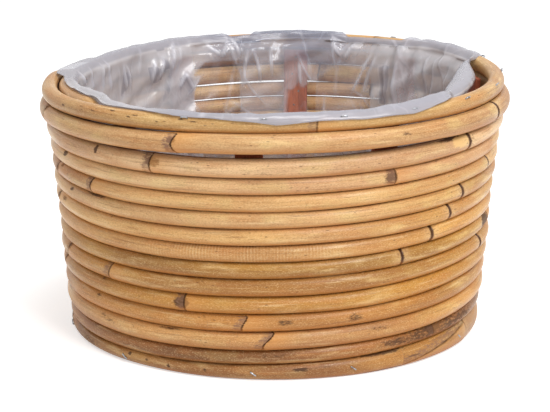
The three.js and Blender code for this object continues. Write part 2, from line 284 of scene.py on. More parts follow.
def rattan_bark(hoop, shift):
    """Rattan with its bark on, bent while steamed: a hard, smooth, faintly glossy skin with
    streaks that run along the cane, ring scars where the leaves sat, pits and dark stains."""
    material, tree = new_material(f"rattan bark, {hoop.node}")
    bark = add(tree, "ShaderNodeAttribute", attribute_name="bark").outputs["Vector"]
    parts = add(tree, "ShaderNodeSeparateXYZ", {"Vector": bark}).outputs
    # Streaks 2 mm wide and 60 mm long, blotches of 8 by 45 mm, and a slow change of 180 mm.
    streak = noise(tree, bark, (16, 560, 560), 4, 0.7, shift)
    hair = noise(tree, bark, (60, 1300, 1300), 2, 0.6, shift + 19)
    blotch = noise(tree, bark, (22, 120, 120), 3, 0.6, shift + 3)
    slow = noise(tree, bark, (5.5, 24, 24), 2, 0.5, shift + 7)
    patch = noise(tree, bark, (34, 60, 60), 2, 0.5, shift + 23)
    rough_edge = noise(tree, bark, (260, 700, 700), 3, 0.7, shift + 13)

    colour = blend_colours(tree, remap(tree, slow, 0.36, 0.66), hoop.bark, hoop.shade)
    colour = tint(tree, colour, "#c08048", 0.5, blotch, 0.5, 0.72)
    colour = tint(tree, colour, "#d9bd7c", hoop.straw, patch, 0.5, 0.68)
    colour = tint(tree, colour, "#efcd92", 0.5, blotch, 0.46, 0.26)
    colour = tint(tree, colour, "#8a5c34", 0.55, streak, 0.52, 0.7)
    colour = blend_colours(tree, field(tree, "golden"), colour, "#fffbdf", "MULTIPLY")
    colour = tint(tree, colour, "#f4d7a4", 0.5, streak, 0.42, 0.28)
    colour = tint(tree, colour, "#7a5230", 0.35, hair, 0.58, 0.72)

    # Flecks 0.6 mm wide and 1.4 mm long, dark and pale.
    fleck = noise(tree, bark, (700, 1700, 1700), 1, 0.5, shift + 41)
    colour = tint(tree, colour, "#7d5128", 0.34, fleck, 0.54, 0.72)
    colour = tint(tree, colour, "#f2d6a2", 0.32, fleck, 0.46, 0.28)

    # Pits, up to 3 mm long and 1 mm wide, largest where they crowd together.
    place = add(tree, "ShaderNodeMapping", {"Vector": bark, "Scale": (120, 330, 330)})
    cells = add(tree, "ShaderNodeTexVoronoi", {"Vector": place.outputs[0], "Scale": 1})
    crowd = remap(tree, noise(tree, bark, (26, 70, 70), 2, 0.5, shift + 31), 0.5, 0.62, 0.05, 0.19)
    pit = math_node(tree, "SUBTRACT", crowd, cells.outputs["Distance"])
    pit = remap(tree, pit, 0.0, 0.08, 0, 0.55)
    colour = blend_colours(tree, pit, colour, "#5a3618")

    # Stains have ragged edges, and rubbed places show the paler wood.
    ragged = math_node(tree, "MULTIPLY_ADD", rough_edge, 1.2, -0.6)
    stain = math_node(tree, "ADD", field(tree, "stain"), ragged)
    inside = remap(tree, field(tree, "stain"), 0, 0.12)
    stained = product(tree, remap(tree, stain, 0.25, 0.7, 0, 0.9), inside)
    colour = blend_colours(tree, stained, colour, "#4a2f1c")
    rubbed = math_node(tree, "ADD", field(tree, "rubbed"), ragged)
    colour = tint(tree, colour, "#ecc17e", 0.8, rubbed, 0.35, 0.6)

    # A ring scar is a thin dark line. On one side of it the bark is scaly and purple-brown
    # for 6 mm, and on the other it has a warm tint that fades.
    signed = field(tree, "scar")
    strength = field(tree, "scar_strength")
    wander = math_node(tree, "MULTIPLY_ADD", rough_edge, 0.0026, -0.0013)
    scar = math_node(tree, "ADD", math_node(tree, "ABSOLUTE", signed), wander)
    before = math_node(tree, "ADD", signed, math_node(tree, "MULTIPLY", wander, 4))
    scaly = product(
        tree, remap(tree, before, -0.0085, -0.005), remap(tree, before, 0.0006, -0.0006),
        remap(tree, rough_edge, 0.36, 0.62, 0.25, 0.95), strength)
    colour = blend_colours(tree, scaly, colour, "#8a6650")
    warm = product(tree, remap(tree, signed, 0.03, 0.002, 0, 0.5), strength,
                   math_node(tree, "GREATER_THAN", signed, 0.0))
    colour = blend_colours(tree, warm, colour, "#d79550")
    line = product(tree, remap(tree, scar, 0.0013, 0.0003, 0, 0.95), strength)
    colour = blend_colours(tree, line, colour, "#3c2210")
    # Towards a sawn end the bark is scuffed pale, with brown flecks, and the edge is dark.
    tip = math_node(tree, "ADD", field(tree, "tip"), math_node(tree, "MULTIPLY", wander, 1.4))
    colour = tint(tree, colour, "#e6c48e", 0.3, tip, 0.012, 0.003)
    scuff = product(tree, remap(tree, tip, 0.013, 0.002),
                    remap(tree, rough_edge, 0.52, 0.64, 0, 0.75))
    colour = blend_colours(tree, scuff, colour, "#855430")
    colour = tint(tree, colour, "#4a2813", 0.95, tip, 0.0021, 0.0007)
    # Past the foot cane's lap joint its other end shows, which has another tint.
    lapped = product(tree, field(tree, "lapped"), 0.45)
    colour = blend_colours(tree, lapped, colour, "#b98a52")

    # Drying has wrinkled the bark into ribs, stronger in some places.
    rib_turn = product(tree, parts["X"], 2 * math.pi / (RIB_SPACING * MM))
    rib_turn = math_node(tree, "MULTIPLY_ADD", blotch, 3.0, rib_turn)
    wrinkle = product(tree, math_node(tree, "SINE", rib_turn), field(tree, "ribbed"),
                      remap(tree, patch, 0.4, 0.6, 0.4, 1))
    colour = tint(tree, colour, "#f4dcab", 0.26, wrinkle, 0.0, 1.0)
    colour = tint(tree, colour, "#a97c45", 0.12, wrinkle, 0.0, -1.0)

    # Painted shade: the under half is tinted orange, standing in for the warm light bounced up
    # from the cane below it.
    colour = tint(tree, colour, "#b8702c", 0.42, parts["Y"], -0.0008, -0.006)

    # Painted shade, together with some dirt, darkens the crevices between the canes. Where a
    # crevice is deepest it is painted near black.
    dirt = math_node(tree, "MULTIPLY_ADD", ragged, 0.35, field(tree, "dirt"))
    darkest_shade = remap(tree, dirt, 0.86, 1.16)
    dirt = remap(tree, dirt, 0.08, 0.85, 0, 0.86)
    colour = blend_colours(tree, dirt, colour, "#5e3413")
    colour = blend_colours(tree, darkest_shade, colour, "#1d1108")

    gloss = remap(tree, blotch, 0.3, 0.7, 0.3, 0.46)
    gloss = math_node(tree, "MULTIPLY_ADD", stained, 0.3, gloss)
    gloss = math_node(tree, "MULTIPLY_ADD", scaly, 0.3, gloss)
    gloss = math_node(tree, "MULTIPLY_ADD", dirt, 0.6, gloss)
    gloss = math_node(tree, "MULTIPLY_ADD", line, 0.5, gloss)
    height = math_node(tree, "MULTIPLY_ADD", wrinkle, 0.3, product(tree, streak, 0.5))
    height = math_node(tree, "MULTIPLY_ADD", pit, -0.3, height)
    height = math_node(tree, "MULTIPLY_ADD", line, -0.8, height)
    height = math_node(tree, "MULTIPLY_ADD", product(tree, scaly, rough_edge), 0.8, height)
    bump = add(tree, "ShaderNodeBump", {"Height": height, "Distance": 0.0005, "Strength": 0.6})
    give_surface(tree, {
        "Base Color": colour,
        "Roughness": gloss,
        "Normal": bump.outputs[0],
        "IOR": 1.5,
        "Specular IOR Level": 0.32,
    })
    return material


def rattan_end_grain():
    """Rattan sawn across: pale and matt, with the pores of its fibres as dark dots."""
    material, tree = new_material("rattan end grain")
    place = add(tree, "ShaderNodeTexCoord").outputs["Object"]
    pores = add(tree, "ShaderNodeTexVoronoi", {"Vector": place, "Scale": 1100})
    pore = remap(tree, pores.outputs["Distance"], 0.18, 0.34)
    patch = remap(tree, noise(tree, place, (180, 180, 180)), 0.35, 0.65)
    colour = blend_colours(tree, patch, "#c79f6c", "#a5784a")
    colour = blend_colours(tree, pore, "#4d3420", colour)
    give_surface(tree, {"Base Color": colour, "Roughness": 0.85})
    return material


def stained_slat_wood():
    """A sawn softwood slat, stained red-brown: dull, with grain that runs up the slat."""
    material, tree = new_material("stained slat wood")
    place = add(tree, "ShaderNodeTexCoord").outputs["Object"]
    grain = noise(tree, place, (520, 520, 16), 4, 0.65)
    cloud = noise(tree, place, (40, 40, 14), 2)
    colour = blend_colours(tree, remap(tree, cloud, 0.35, 0.65), "#b5613c", "#94492d")
    colour = tint(tree, colour, "#62311f", 0.6, grain, 0.48, 0.68)
    colour = tint(tree, colour, "#c27d58", 0.35, grain, 0.44, 0.3)
    bump = add(tree, "ShaderNodeBump", {"Height": grain, "Distance": 0.0004, "Strength": 0.6})
    give_surface(
        tree, {"Base Color": colour, "Roughness": 0.62, "Normal": bump.outputs[0]})
    return material


def sawn_board_wood(name, grain_scale):
    """A rough-sawn plantation softwood board: matt, pale brown, with growth rings as lines."""
    material, tree = new_material(name)
    place = add(tree, "ShaderNodeTexCoord").outputs["Object"]
    grain = noise(tree, place, grain_scale, 5, 0.6)
    rings = math_node(tree, "SINE", math_node(tree, "MULTIPLY", grain, 34))
    cloud = noise(tree, place, (12, 12, 12), 3)
    colour = blend_colours(tree, remap(tree, cloud, 0.35, 0.65), "#c79a68", "#a97c50")
    colour = tint(tree, colour, "#8a5d38", 0.45, rings, -0.2, 1.0)
    saw = noise(tree, place, tuple(6 * scale for scale in grain_scale), 3, 0.7)
    bump = add(tree, "ShaderNodeBump", {"Height": saw, "Distance": 0.0006, "Strength": 0.7})
    give_surface(
        tree, {"Base Color": colour, "Roughness": 0.78, "Normal": bump.outputs[0]})
    return material


def polythene_film():
    """Blown polythene film: clear but milky, more so where it is creased, doubled or seen edge
    on, and glossy, so that each crease has a bright line."""
    material, tree = new_material("milky polythene film")
    lay = add(tree, "ShaderNodeAttribute", attribute_name="lay").outputs["Vector"]
    cloud = noise(tree, lay, (30, 16, 1), 3, 0.6)
    # Small facets, 12 by 20 mm, that tilt this way and that, and finer wrinkles in them.
    warp = noise(tree, lay, (45, 45, 1), 2, 0.5, 5.0)
    moved = add(tree, "ShaderNodeVectorMath", {0: lay}, operation="MULTIPLY")
    moved.inputs[1].default_value = (80, 46, 1)
    bent = add(tree, "ShaderNodeVectorMath", {0: moved.outputs[0]}, operation="ADD")
    twist = add(tree, "ShaderNodeCombineXYZ", {
        "X": math_node(tree, "MULTIPLY", warp, 2.2),
        "Y": math_node(tree, "MULTIPLY", warp, -1.6),
    })
    tree.links.new(twist.outputs[0], bent.inputs[1])
    cells = add(tree, "ShaderNodeTexVoronoi", {"Vector": bent.outputs[0], "Scale": 1},
                feature="DISTANCE_TO_EDGE")
    crinkle = remap(tree, cells.outputs["Distance"], 0.09, 0.0)
    shown = remap(tree, noise(tree, lay, (24, 24, 1), 2, 0.5, 9.0), 0.45, 0.62)
    crinkle = math_node(tree, "MULTIPLY", crinkle, shown)
    fine = noise(tree, lay, (130, 60, 1), 2, 0.5)

    milk = field(tree, "milk")
    fold = field(tree, "fold")
    edge_on = add(tree, "ShaderNodeLayerWeight", {"Blend": 0.3}).outputs["Facing"]
    cover = math_node(tree, "MULTIPLY_ADD", cloud, 0.3, -0.15)
    cover = math_node(tree, "ADD", cover, milk)
    cover = math_node(tree, "MULTIPLY_ADD", edge_on, 0.2, cover)
    cover = math_node(tree, "MULTIPLY_ADD", crinkle, 0.05, cover)
    cover = math_node(tree, "MULTIPLY_ADD", fold, 0.3, cover, clamp=True)
    alpha = add(tree, "ShaderNodeMapRange", {"Value": cover, "To Min": 0.03, "To Max": 0.62})
    # The hem over the rim is greyer, duller and smoother. The wall's paler colour is partly
    # painted light: it makes up for the upright wall getting less light than the hem lying on top
    # of the rim.
    hem = remap(tree, milk, 0.74, 0.88)
    bright = math_node(tree, "MULTIPLY_ADD", crinkle, 0.12, fold, clamp=True)
    colour = blend_colours(tree, hem, "#dbd8dc", "#b1afb8")
    # Painted shade: where the film crumples under the back of the rim, its colour is multiplied
    # darker and bluer.
    crumpled = product(tree, field(tree, "crumpled"), remap(tree, warp, 0.3, 0.6, 0.5, 1))
    colour = blend_colours(tree, crumpled, colour, "#c3c8d6", "MULTIPLY")
    colour = blend_colours(tree, bright, colour, "#e4e2ea")
    height = math_node(tree, "MULTIPLY_ADD", crinkle, 0.35, fine)
    height = product(tree, height, math_node(tree, "MULTIPLY_ADD", hem, -0.75, 1.0))
    bump = add(tree, "ShaderNodeBump", {"Height": height, "Distance": 0.0008, "Strength": 0.4})
    give_surface(tree, {
        "Base Color": colour,
        "Alpha": alpha.outputs[0],
        "Roughness": remap(tree, hem, 0, 1, 0.13, 0.27),
        "Normal": bump.outputs[0],
        "IOR": 1.5,
        "Specular IOR Level": 0.8,
    })
    return material


def galvanised_wire():
    """Galvanised staple wire: a dull grey metal, blotchy where the zinc has weathered."""
    material, tree = new_material("galvanised wire")
    place = add(tree, "ShaderNodeTexCoord").outputs["Object"]
    patch = remap(tree, noise(tree, place, (600, 600, 600)), 0.4, 0.65)
    colour = blend_colours(tree, patch, "#b9bcc2", "#7d7a78")
    gloss = remap(tree, patch, 0, 1, 0.3, 0.5)
    give_surface(tree, {"Base Color": colour, "Roughness": gloss, "Metallic": 1.0})
    return material


def bright_brad_steel():
    """A bright steel brad that has rusted a little: brown patches on grey metal."""
    material, tree = new_material("rusting brad steel")
    place = add(tree, "ShaderNodeTexCoord").outputs["Object"]
    rust = remap(tree, noise(tree, place, (900, 900, 900)), 0.42, 0.6)
    colour = blend_colours(tree, rust, "#8d8a86", "#5a3824")
    bare = math_node(tree, "SUBTRACT", 1.0, rust)
    give_surface(tree, {"Base Color": colour, "Roughness": 0.5, "Metallic": bare})
    return material


def new_object(name, data):
    """A new object in the scene, at the origin."""
    thing = bpy.data.objects.new(name, data)
    bpy.context.scene.collection.objects.link(thing)
    return thing


def applied(holder):
    """The plain mesh that an object's modifiers make of it. The object is taken away."""
    depsgraph = bpy.context.evaluated_depsgraph_get()
    evaluated = holder.evaluated_get(depsgraph)
    mesh = bpy.data.meshes.new_from_object(
        evaluated, preserve_all_data_layers=True, depsgraph=depsgraph)
    bpy.data.objects.remove(holder)
    return mesh


def write_field(mesh, name, values, kind="FLOAT"):
    """Gives a mesh a number, or a vector, at each of its points."""
    layer = mesh.attributes.new(name, kind, "POINT")
    numbers = np.asarray(values, dtype=np.float32).ravel()
    layer.data.foreach_set("value" if kind == "FLOAT" else "vector", numbers)


def read_vectors(items, name):
    """One vector for each item, such as the places of a mesh's points."""
    numbers = np.empty(len(items) * 3, dtype=np.float32)
    items.foreach_get(name, numbers)
    return numbers.reshape(-1, 3)


def named_field(tree, name, kind):
    """A mesh's own field, in a geometry node tree."""
    node = add(tree, "GeometryNodeInputNamedAttribute", {"Name": name}, data_type=kind)
    return node.outputs[0]


def new_piece(name, mesh, slot_name, *nodes):
    """An object for a finished mesh, which stands for the nodes and rides on the basket."""
    piece = new_object(name, mesh)
    if nodes:
        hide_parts(*nodes)
    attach(piece, "root")
    return piece


def grow(name, mesh, tree, values):
    """The plain mesh that a node tree makes of a mesh, with its inputs set by identifier."""
    seedling = new_object(name, mesh)
    modifier = seedling.modifiers.new(name, "NODES")
    modifier.node_group = tree
    for item in tree.interface.items_tree:
        if item.in_out == "INPUT" and item.name in values:
            modifier[item.identifier] = values[item.name]
    grown = applied(seedling)
    grown.name = name
    return grown


def new_tree(name, inputs):
    """A geometry node tree with a geometry input and output, and the given inputs."""
    tree = bpy.data.node_groups.new(name, "GeometryNodeTree")
    face = tree.interface
    face.new_socket("Geometry", in_out="INPUT", socket_type="NodeSocketGeometry")
    face.new_socket("Geometry", in_out="OUTPUT", socket_type="NodeSocketGeometry")
    for socket_name, kind in inputs.items():
        face.new_socket(socket_name, in_out="INPUT", socket_type=f"NodeSocket{kind}")
    return tree, add(tree, "NodeGroupInput").outputs


def close_tree(tree, geometry, material):
    """Ends a tree: its instances become mesh, and the mesh gets its material."""
    real = add(tree, "GeometryNodeRealizeInstances", {"Geometry": geometry})
    inputs = {"Geometry": real.outputs[0], "Material": material}
    painted = add(tree, "GeometryNodeSetMaterial", inputs)
    add(tree, "NodeGroupOutput", {"Geometry": painted.outputs[0]})


def cane_tree():
    """Sweeps an oval along a bent line. The line's own fields give half the cane's height and
    width and the distance along it, and noise keeps the cane from being quite round."""
    named = {"Sides": "Int", "Unevenness": "Float", "Shift": "Float", "Bark": "Material"}
    tree, given = new_tree("bent cane", named)
    unit = 0.001
    line = add(tree, "GeometryNodeMeshToCurve", {"Mesh": given["Geometry"]}).outputs[0]
    line = add(tree, "GeometryNodeSetCurveNormal", {"Curve": line}, mode="Z_UP").outputs[0]
    position = add(tree, "GeometryNodeInputPosition").outputs[0]
    inputs = {"Geometry": line, "Name": "centre", "Value": position}
    line = add(tree, "GeometryNodeStoreNamedAttribute", inputs, data_type="FLOAT_VECTOR")
    line = line.outputs[0]
    inputs = {"Resolution": given["Sides"], "Radius": unit}
    circle = add(tree, "GeometryNodeCurvePrimitiveCircle", inputs).outputs[0]
    inputs = {"Curve": line, "Profile Curve": circle, "Fill Caps": True}
    tube = add(tree, "GeometryNodeCurveToMesh", inputs).outputs[0]

    def vector_math(operation, *values):
        inputs = dict(enumerate(values))
        return add(tree, "ShaderNodeVectorMath", inputs, operation=operation)

    centre = named_field(tree, "centre", "FLOAT_VECTOR")
    offset = vector_math("SUBTRACT", position, centre).outputs[0]
    scale = add(tree, "ShaderNodeVectorMath", {0: offset, "Scale": 1 / unit}, operation="SCALE")
    direction = scale.outputs[0]
    parts = add(tree, "ShaderNodeSeparateXYZ", {"Vector": direction}).outputs
    outward = vector_math("NORMALIZE", vector_math("MULTIPLY", centre, (1, 1, 0)).outputs[0])
    level = vector_math("DOT_PRODUCT", direction, outward.outputs[0]).outputs["Value"]

    half, across, along = (
        named_field(tree, name, "FLOAT") for name in ("half", "across", "along"))
    bark = add(tree, "ShaderNodeCombineXYZ", {
        "X": along,
        "Y": math_node(tree, "MULTIPLY", parts["Z"], half),
        "Z": math_node(tree, "MULTIPLY", level, across),
    }).outputs[0]
    # Lumps 60 mm long and 12 mm wide.
    moved = vector_math("MULTIPLY", bark, (16, 80, 80)).outputs[0]
    spread = add(tree, "ShaderNodeCombineXYZ", {"X": given["Shift"], "Y": given["Shift"]})
    moved = vector_math("ADD", moved, spread.outputs[0]).outputs[0]
    lump = add(tree, "ShaderNodeTexNoise", {"Vector": moved, "Scale": 1, "Detail": 2}).outputs[0]
    lump = math_node(tree, "SUBTRACT", lump, 0.5)
    swell = math_node(tree, "MULTIPLY", lump, given["Unevenness"])
    flat = math_node(tree, "ADD", across, swell)
    tall = math_node(tree, "ADD", half, swell)
    stretch = add(tree, "ShaderNodeCombineXYZ", {"X": flat, "Y": flat, "Z": tall}).outputs[0]
    reach = vector_math("MULTIPLY", direction, stretch).outputs[0]
    place = vector_math("ADD", centre, reach).outputs[0]
    inputs = {"Geometry": tube, "Name": "bark", "Value": bark}
    tube = add(tree, "GeometryNodeStoreNamedAttribute", inputs, data_type="FLOAT_VECTOR")
    tube = tube.outputs[0]
    inputs = {"Geometry": tube, "Position": place}
    tube = add(tree, "GeometryNodeSetPosition", inputs).outputs[0]
    tube = add(tree, "GeometryNodeSetShadeSmooth", {"Geometry": tube}).outputs[0]
    close_tree(tree, tube, given["Bark"])
    return tree


# A cane's distance along is its turn times this radius.
ALONG_RADIUS = 185
# The ribs in the bark are this far apart.
RIB_SPACING = 2.6
# A cane is swept in steps of this length, with this many sides.
CANE_STEP = 2.6
CANE_SIDES = 28
# Each hoop is this much thicker than its solid all round, so that neighbours touch.
SNUG = 0.25
# A sawn end is eased over these distances, by these shares of its half.
END_STEPS = (0.0, 0.2, 0.5, 0.9, 1.6)
END_SHARES = (0.86, 0.93, 0.972, 0.99, 1.0)
# Each end of a joint lies this much nearer to the other one than in the solids.
END_CREEP = 0.3


def waves(chance, turns, amplitude, lowest, highest):
    """A periodic wander with a random wave for each whole number of waves in a turn."""
    total = 0 * turns
    for count in range(lowest, highest + 1):
        height, phase = chance.uniform(0.3, 1), chance.uniform(0, 2 * math.pi)
        total = total + height * np.sin(count * turns + phase)
    return amplitude * total / math.sqrt((highest - lowest + 1) / 2)


def line_mesh(name, points, fields):
    """A mesh of one open line with a value at each point for each field."""
    mesh = bpy.data.meshes.new(name)
    edges = [(place, place + 1) for place in range(len(points) - 1)]
    mesh.from_pydata(points.tolist(), edges, [])
    for field_name, values in fields.items():
        write_field(mesh, field_name, values)
    return mesh


def cane_stations(start, end, radius):
    """Bearings in radians along a cane, closer together at its sawn ends."""
    length = math.radians(end - start) * radius
    steps = np.array(END_STEPS)
    inner = np.linspace(END_STEPS[-1], length - END_STEPS[-1], int(length / CANE_STEP))
    distances = np.concatenate([steps[:-1], inner, length - steps[:-1][::-1]])
    shares = np.ones(len(distances))
    shares[:len(steps)] = END_SHARES
    shares[-len(steps):] = END_SHARES[::-1]
    return math.radians(start) + distances / radius, distances, length, shares


def end_spring(distances, length, chance):
    """How far the two ends of a bent cane spring out of the round, and up or down."""
    spring = 0 * distances
    for from_end in (distances, length - distances):
        spring = spring + chance.uniform(-0.25, 0.75) * (1 - ease(from_end, 0, 45))
    return spring


class Change(NamedTuple):
    """A local change of a cane: its node, first and last bearing, and how much half its height
    grows and its middle rises."""

    node: str
    start: float
    end: float
    half: float
    rise: float


# The second and third canes touch at the left. At the back, daylight shows past the fourth.
CHANGES = (
    Change("cane_02", -88, -16, 0.3, -0.5),
    Change("cane_02", -26, 50, 0.2, 0.4),
    Change("cane_02", 40, 262, 0.65, -0.3),
    Change("cane_03", -88, -16, 0.35, 0.4),
    Change("cane_03", 144, 212, 0.15, -0.4),
    Change("cane_03", 136, 176, 0.4, -0.5),
    Change("cane_04", 144, 212, -0.6, -1.05),
    Change("cane_05", 144, 212, -0.38, -0.92),
)
# The inner end of the rim cane thins out over this length, to this share of its width, and so
# does its outer end, under the film.
RIM_TIP_LENGTH = 30
RIM_TIP_SHARE = 0.42
RIM_HEEL_LENGTH = 62
RIM_HEEL_SHARE = 0.5


def changed(node, turn, half, height):
    """A cane's half height and level with its local changes."""
    degrees = np.degrees(turn)
    for change in CHANGES:
        if change.node == node:
            for lap in (0, 360):
                start, end = change.start + lap, change.end + lap
                share = ease(degrees, start, start + 12) * (1 - ease(degrees, end - 12, end))
                half = half + share * change.half
                height = height + share * change.rise
    return half, height


def bent_cane(place, chance, tree, bark):
    """The mesh of one course's cane, and the bearings along it in radians."""
    hoop = HOOPS[place]
    mean_radius = float(hoop_radius(place, np.array(0.0)))
    creep = math.degrees(END_CREEP / mean_radius)
    if place == RIM:
        start, end = RIM_START, RIM_END + 360
    else:
        half_gap = math.degrees(JOINT_GAP / 2 / mean_radius)
        start = hoop.joint + half_gap - creep
        end = hoop.joint + 360 - half_gap + creep
    turn, distances, length, shares = cane_stations(start, end, mean_radius)
    wander = waves(chance, turn, 0.12, 3, 9)
    swelling = waves(chance, turn, 0.1, 2, 7) + waves(chance, 1.37 * turn, 0.06, 5, 11)
    spring = end_spring(distances, length, chance)
    radius = hoop_radius(place, turn) + waves(chance, turn, 0.3, 2, 8) + spring
    height = middle(place, turn) + wander
    half, height = changed(hoop.node, turn, half_height(place, turn), height)
    if place == RIM:
        radius = hoop_radius(place, turn) + 0.4 * spring - rim_inset(np.degrees(turn))
        thin = 1 - (1 - RIM_TIP_SHARE) * (1 - ease(length - distances, 0, RIM_TIP_LENGTH))
        radius = radius + (1 - thin) * half + 0.8 * ease(thin, 1, RIM_TIP_SHARE)
        height = height - 0.5 * (1 - thin) * half
        heel = 1 - (1 - RIM_HEEL_SHARE) * (1 - ease(distances, 0, RIM_HEEL_LENGTH))
        radius = radius - (1 - heel) * half
        height = height - (1 - heel) * half
        shares = shares * thin * heel
    half = (half + SNUG + swelling) * shares
    across = (half_width(place, turn) + SNUG + swelling) * shares
    points = around(radius, turn, height)
    fields = {"half": half * MM, "across": across * MM, "along": turn * ALONG_RADIUS * MM}
    mesh = line_mesh(f"{hoop.node}_line", points, fields)
    values = {
        "Sides": CANE_SIDES,
        "Unevenness": 0.35 * MM,
        "Shift": float(10 * place),
        "Bark": bark,
    }
    return grow(hoop.node, mesh, tree, values), turn


class Mark(NamedTuple):
    """A mark on a cane: its kind, bearing, side angle above level, length and width in
    millimetres, and strength. On a scar, width is its reach either way in degrees, and slant
    and swing bend it into a V or an S."""

    kind: str
    bearing: float
    angle: float
    length: float
    width: float
    strength: float = 1.0
    slant: float = 0.0
    swing: float = 0.0


MARKS = {
    "rim_cane": (
        Mark("scar", 9.8, 20, 1, 180, 0.75, swing=0.5),
        Mark("stain", -41, 52, 3, 1.3, 0.8), Mark("stain", -36, 30, 3, 1, 0.8),
        Mark("stain", -34, 36, 4, 0.9, 0.8), Mark("stain", -28, 12, 2, 1.2, 0.8),
        Mark("stain", -52, 34, 4, 0.9, 0.8), Mark("stain", -47, 22, 6, 0.8, 0.8),
        Mark("stain", -22, 34, 5, 0.8, 0.8), Mark("stain", -18.5, 30, 7, 0.9, 0.8),
        Mark("stain", -60, 12, 3, 1.0, 0.8), Mark("scar", 150, 0, 1, 180, 0.6),
        Mark("rubbed", 308, 30, 9, 5, 1.0), Mark("stain", 309.2, 60, 3, 4, 0.8),
    ),
    "cane_02": (
        Mark("scar", -23.8, -5, 1, 75, 1.0, slant=3.4), Mark("stain", -23.6, 24, 5, 3, 0.75),
        Mark("stain", 5, 10, 10, 0.6, 0.42), Mark("stain", 14, 22, 14, 0.6, 0.42),
        Mark("stain", 31, 20, 6, 1.3, 0.7), Mark("stain", 62, -6, 4, 1, 0.8),
        Mark("stain", -60, 40, 4, 1.6, 0.5),
    ),
    "cane_03": (
        Mark("scar", -30.2, 20, 1, 120, 0.9, swing=0.6), Mark("stain", -29.6, 20, 8, 5, 0.75),
        Mark("stain", -47.5, 36, 2.2, 4.2, 1.2), Mark("stain", 49, 62, 20, 3, 1.0),
        Mark("rubbed", 51, 25, 14, 6, 1.0), Mark("stain", -3, -25, 25, 2, 0.4),
    ),
    "cane_04": (
        Mark("stain", 28.6, 6, 7, 7, 0.72), Mark("scar", 29.8, 10, 1, 70, 0.8),
        Mark("stain", -65, 40, 5, 3, 0.8), Mark("stain", 10, -35, 30, 1.5, 0.4),
    ),
    "cane_05": (
        Mark("scar", -51.5, 20, 1, 180, 1.0, swing=0.8), Mark("stain", -51.5, 20, 3, 5, 0.6),
        Mark("stain", -69.5, 48, 4, 2.5, 0.8),
    ),
    "cane_06": (
        Mark("stain", 35, -40, 40, 1.4, 0.4), Mark("stain", -12, -50, 18, 1.2, 0.5),
        Mark("stain", -51, 58, 16, 1.4, 0.85), Mark("stain", -63, 30, 4, 2.4, 0.8),
    ),
    "cane_07": (Mark("stain", 12, 40, 10, 0.8, 0.4), Mark("scar", 97, 0, 1, 180, 0.8)),
    "cane_08": (Mark("ribbed", -10, 0, 88, 30, 1.0), Mark("stain", -20, -40, 22, 1.4, 0.5)),
    "cane_09": (
        Mark("stain", 74, -12, 11, 8, 1.6), Mark("scar", 78, 0, 1, 180, 1.0),
        Mark("stain", 20, -45, 30, 1.2, 0.5),
    ),
    "cane_10": (Mark("scar", -47, 14, 1, 70, 0.8, swing=0.9), Mark("stain", 30, -30, 24, 1, 0.5)),
    "cane_11": (
        Mark("stain", -24, 6, 7, 5.5, 1.1), Mark("scar", -23.2, 8, 1, 90, 0.9),
        Mark("stain", -51, 55, 4, 1.6, 0.7), Mark("stain", 8, -40, 36, 1.2, 0.45),
    ),
    "cane_12": (
        Mark("scar", -7.6, 10, 1, 52, 0.95, swing=2.4), Mark("stain", 2.8, 10, 8, 3, 0.6),
        Mark("stain", 20.8, 0, 9, 4, 0.58), Mark("stain", -54, 40, 4, 2, 0.7),
    ),
    "cane_13": (
        Mark("scar", -1.6, 14, 1, 60, 1.0, swing=4.6), Mark("stain", -1.4, 20, 4, 5, 0.5),
        Mark("stain", -52, 34, 5, 2, 0.6), Mark("stain", 28, 20, 14, 2.5, 0.45),
        Mark("stain", -28, 56, 14, 1.3, 0.85), Mark("stain", -49, 14, 12, 3, 0.42),
    ),
    "cane_14": (
        Mark("stain", 34, 10, 22, 4, 0.6), Mark("stain", 47, 30, 12, 5, 1.1),
        Mark("stain", 62, 10, 26, 4.5, 0.62), Mark("stain", -40, -10, 40, 3, 0.38),
        Mark("scar", 47.5, 20, 1, 120, 0.35), Mark("stain", 0, 20, 26, 2, 0.4),
        Mark("stain", 48, 0, 62, 12, 0.6),
    ),
    "foot_cane": (
        Mark("stain", 40, 0, 10, 1.2, 0.8), Mark("stain", 55, 10, 20, 3, 0.55),
        Mark("stain", -62, 0, 30, 4, 0.45), Mark("stain", -12, -10, 30, 2, 0.22),
        Mark("scar", 128, 0, 1, 180, 0.8), Mark("stain", 12, 30, 20, 1.2, 0.5),
        Mark("stain", -42.6, 24, 1.7, 1.6, 1.5), Mark("stain", -35.7, 12, 1.5, 1.5, 1.4),
        Mark("stain", -29.1, 2, 1.3, 1.3, 1.3), Mark("stain", -18.3, 6, 1.1, 1.1, 1.0),
        Mark("stain", 7, 20, 9, 1.6, 0.9), Mark("stain", 30, 62, 30, 1.6, 0.95),
        # The stain low on the foot cane at bearing 31 is a painted shadow where the foot cane
        # meets the floor.
        Mark("stain", 31, -58, 26, 1.5, 1.1),
    ),
}
# The foot cane's two ends lie on each other along a slanting line, from low at one bearing to
# high at another.
LAP_FROM = (36, -52)
LAP_TO = (66, 62)
# Beyond the marks above, each cane has ring scars and stains at random over its other side.
HIDDEN_FROM = 92
HIDDEN_TO = 290
# The canes are more golden between these bearings, which comes and goes over so many degrees.
# It fades as they rise from one height to the other, by this share at the top.
GOLDEN_SIDE = (12, 140)
GOLDEN_EDGES = (38, 40)
GOLDEN_FADES = (130, 170)
GOLDEN_LOSS = 0.85


def all_marks(node, chance):
    """The marks of a cane: those listed, and random ones at the sides and back."""
    marks = list(MARKS.get(node, ()))
    for _ in range(2):
        bearing = chance.uniform(HIDDEN_FROM, HIDDEN_TO)
        marks.append(Mark("scar", bearing, 0, 1, 180, chance.uniform(0.5, 1), swing=0.7))
        marks.append(Mark("stain", bearing + 0.3, chance.uniform(-20, 60), 5, 4, 0.7))
    for _ in range(7):
        bearing, angle = chance.uniform(HIDDEN_FROM, HIDDEN_TO), chance.uniform(-60, 70)
        size = chance.uniform(1, 3)
        marks.append(Mark("stain", bearing, angle, 3 * size, size, chance.uniform(0.45, 0.8)))
    return marks


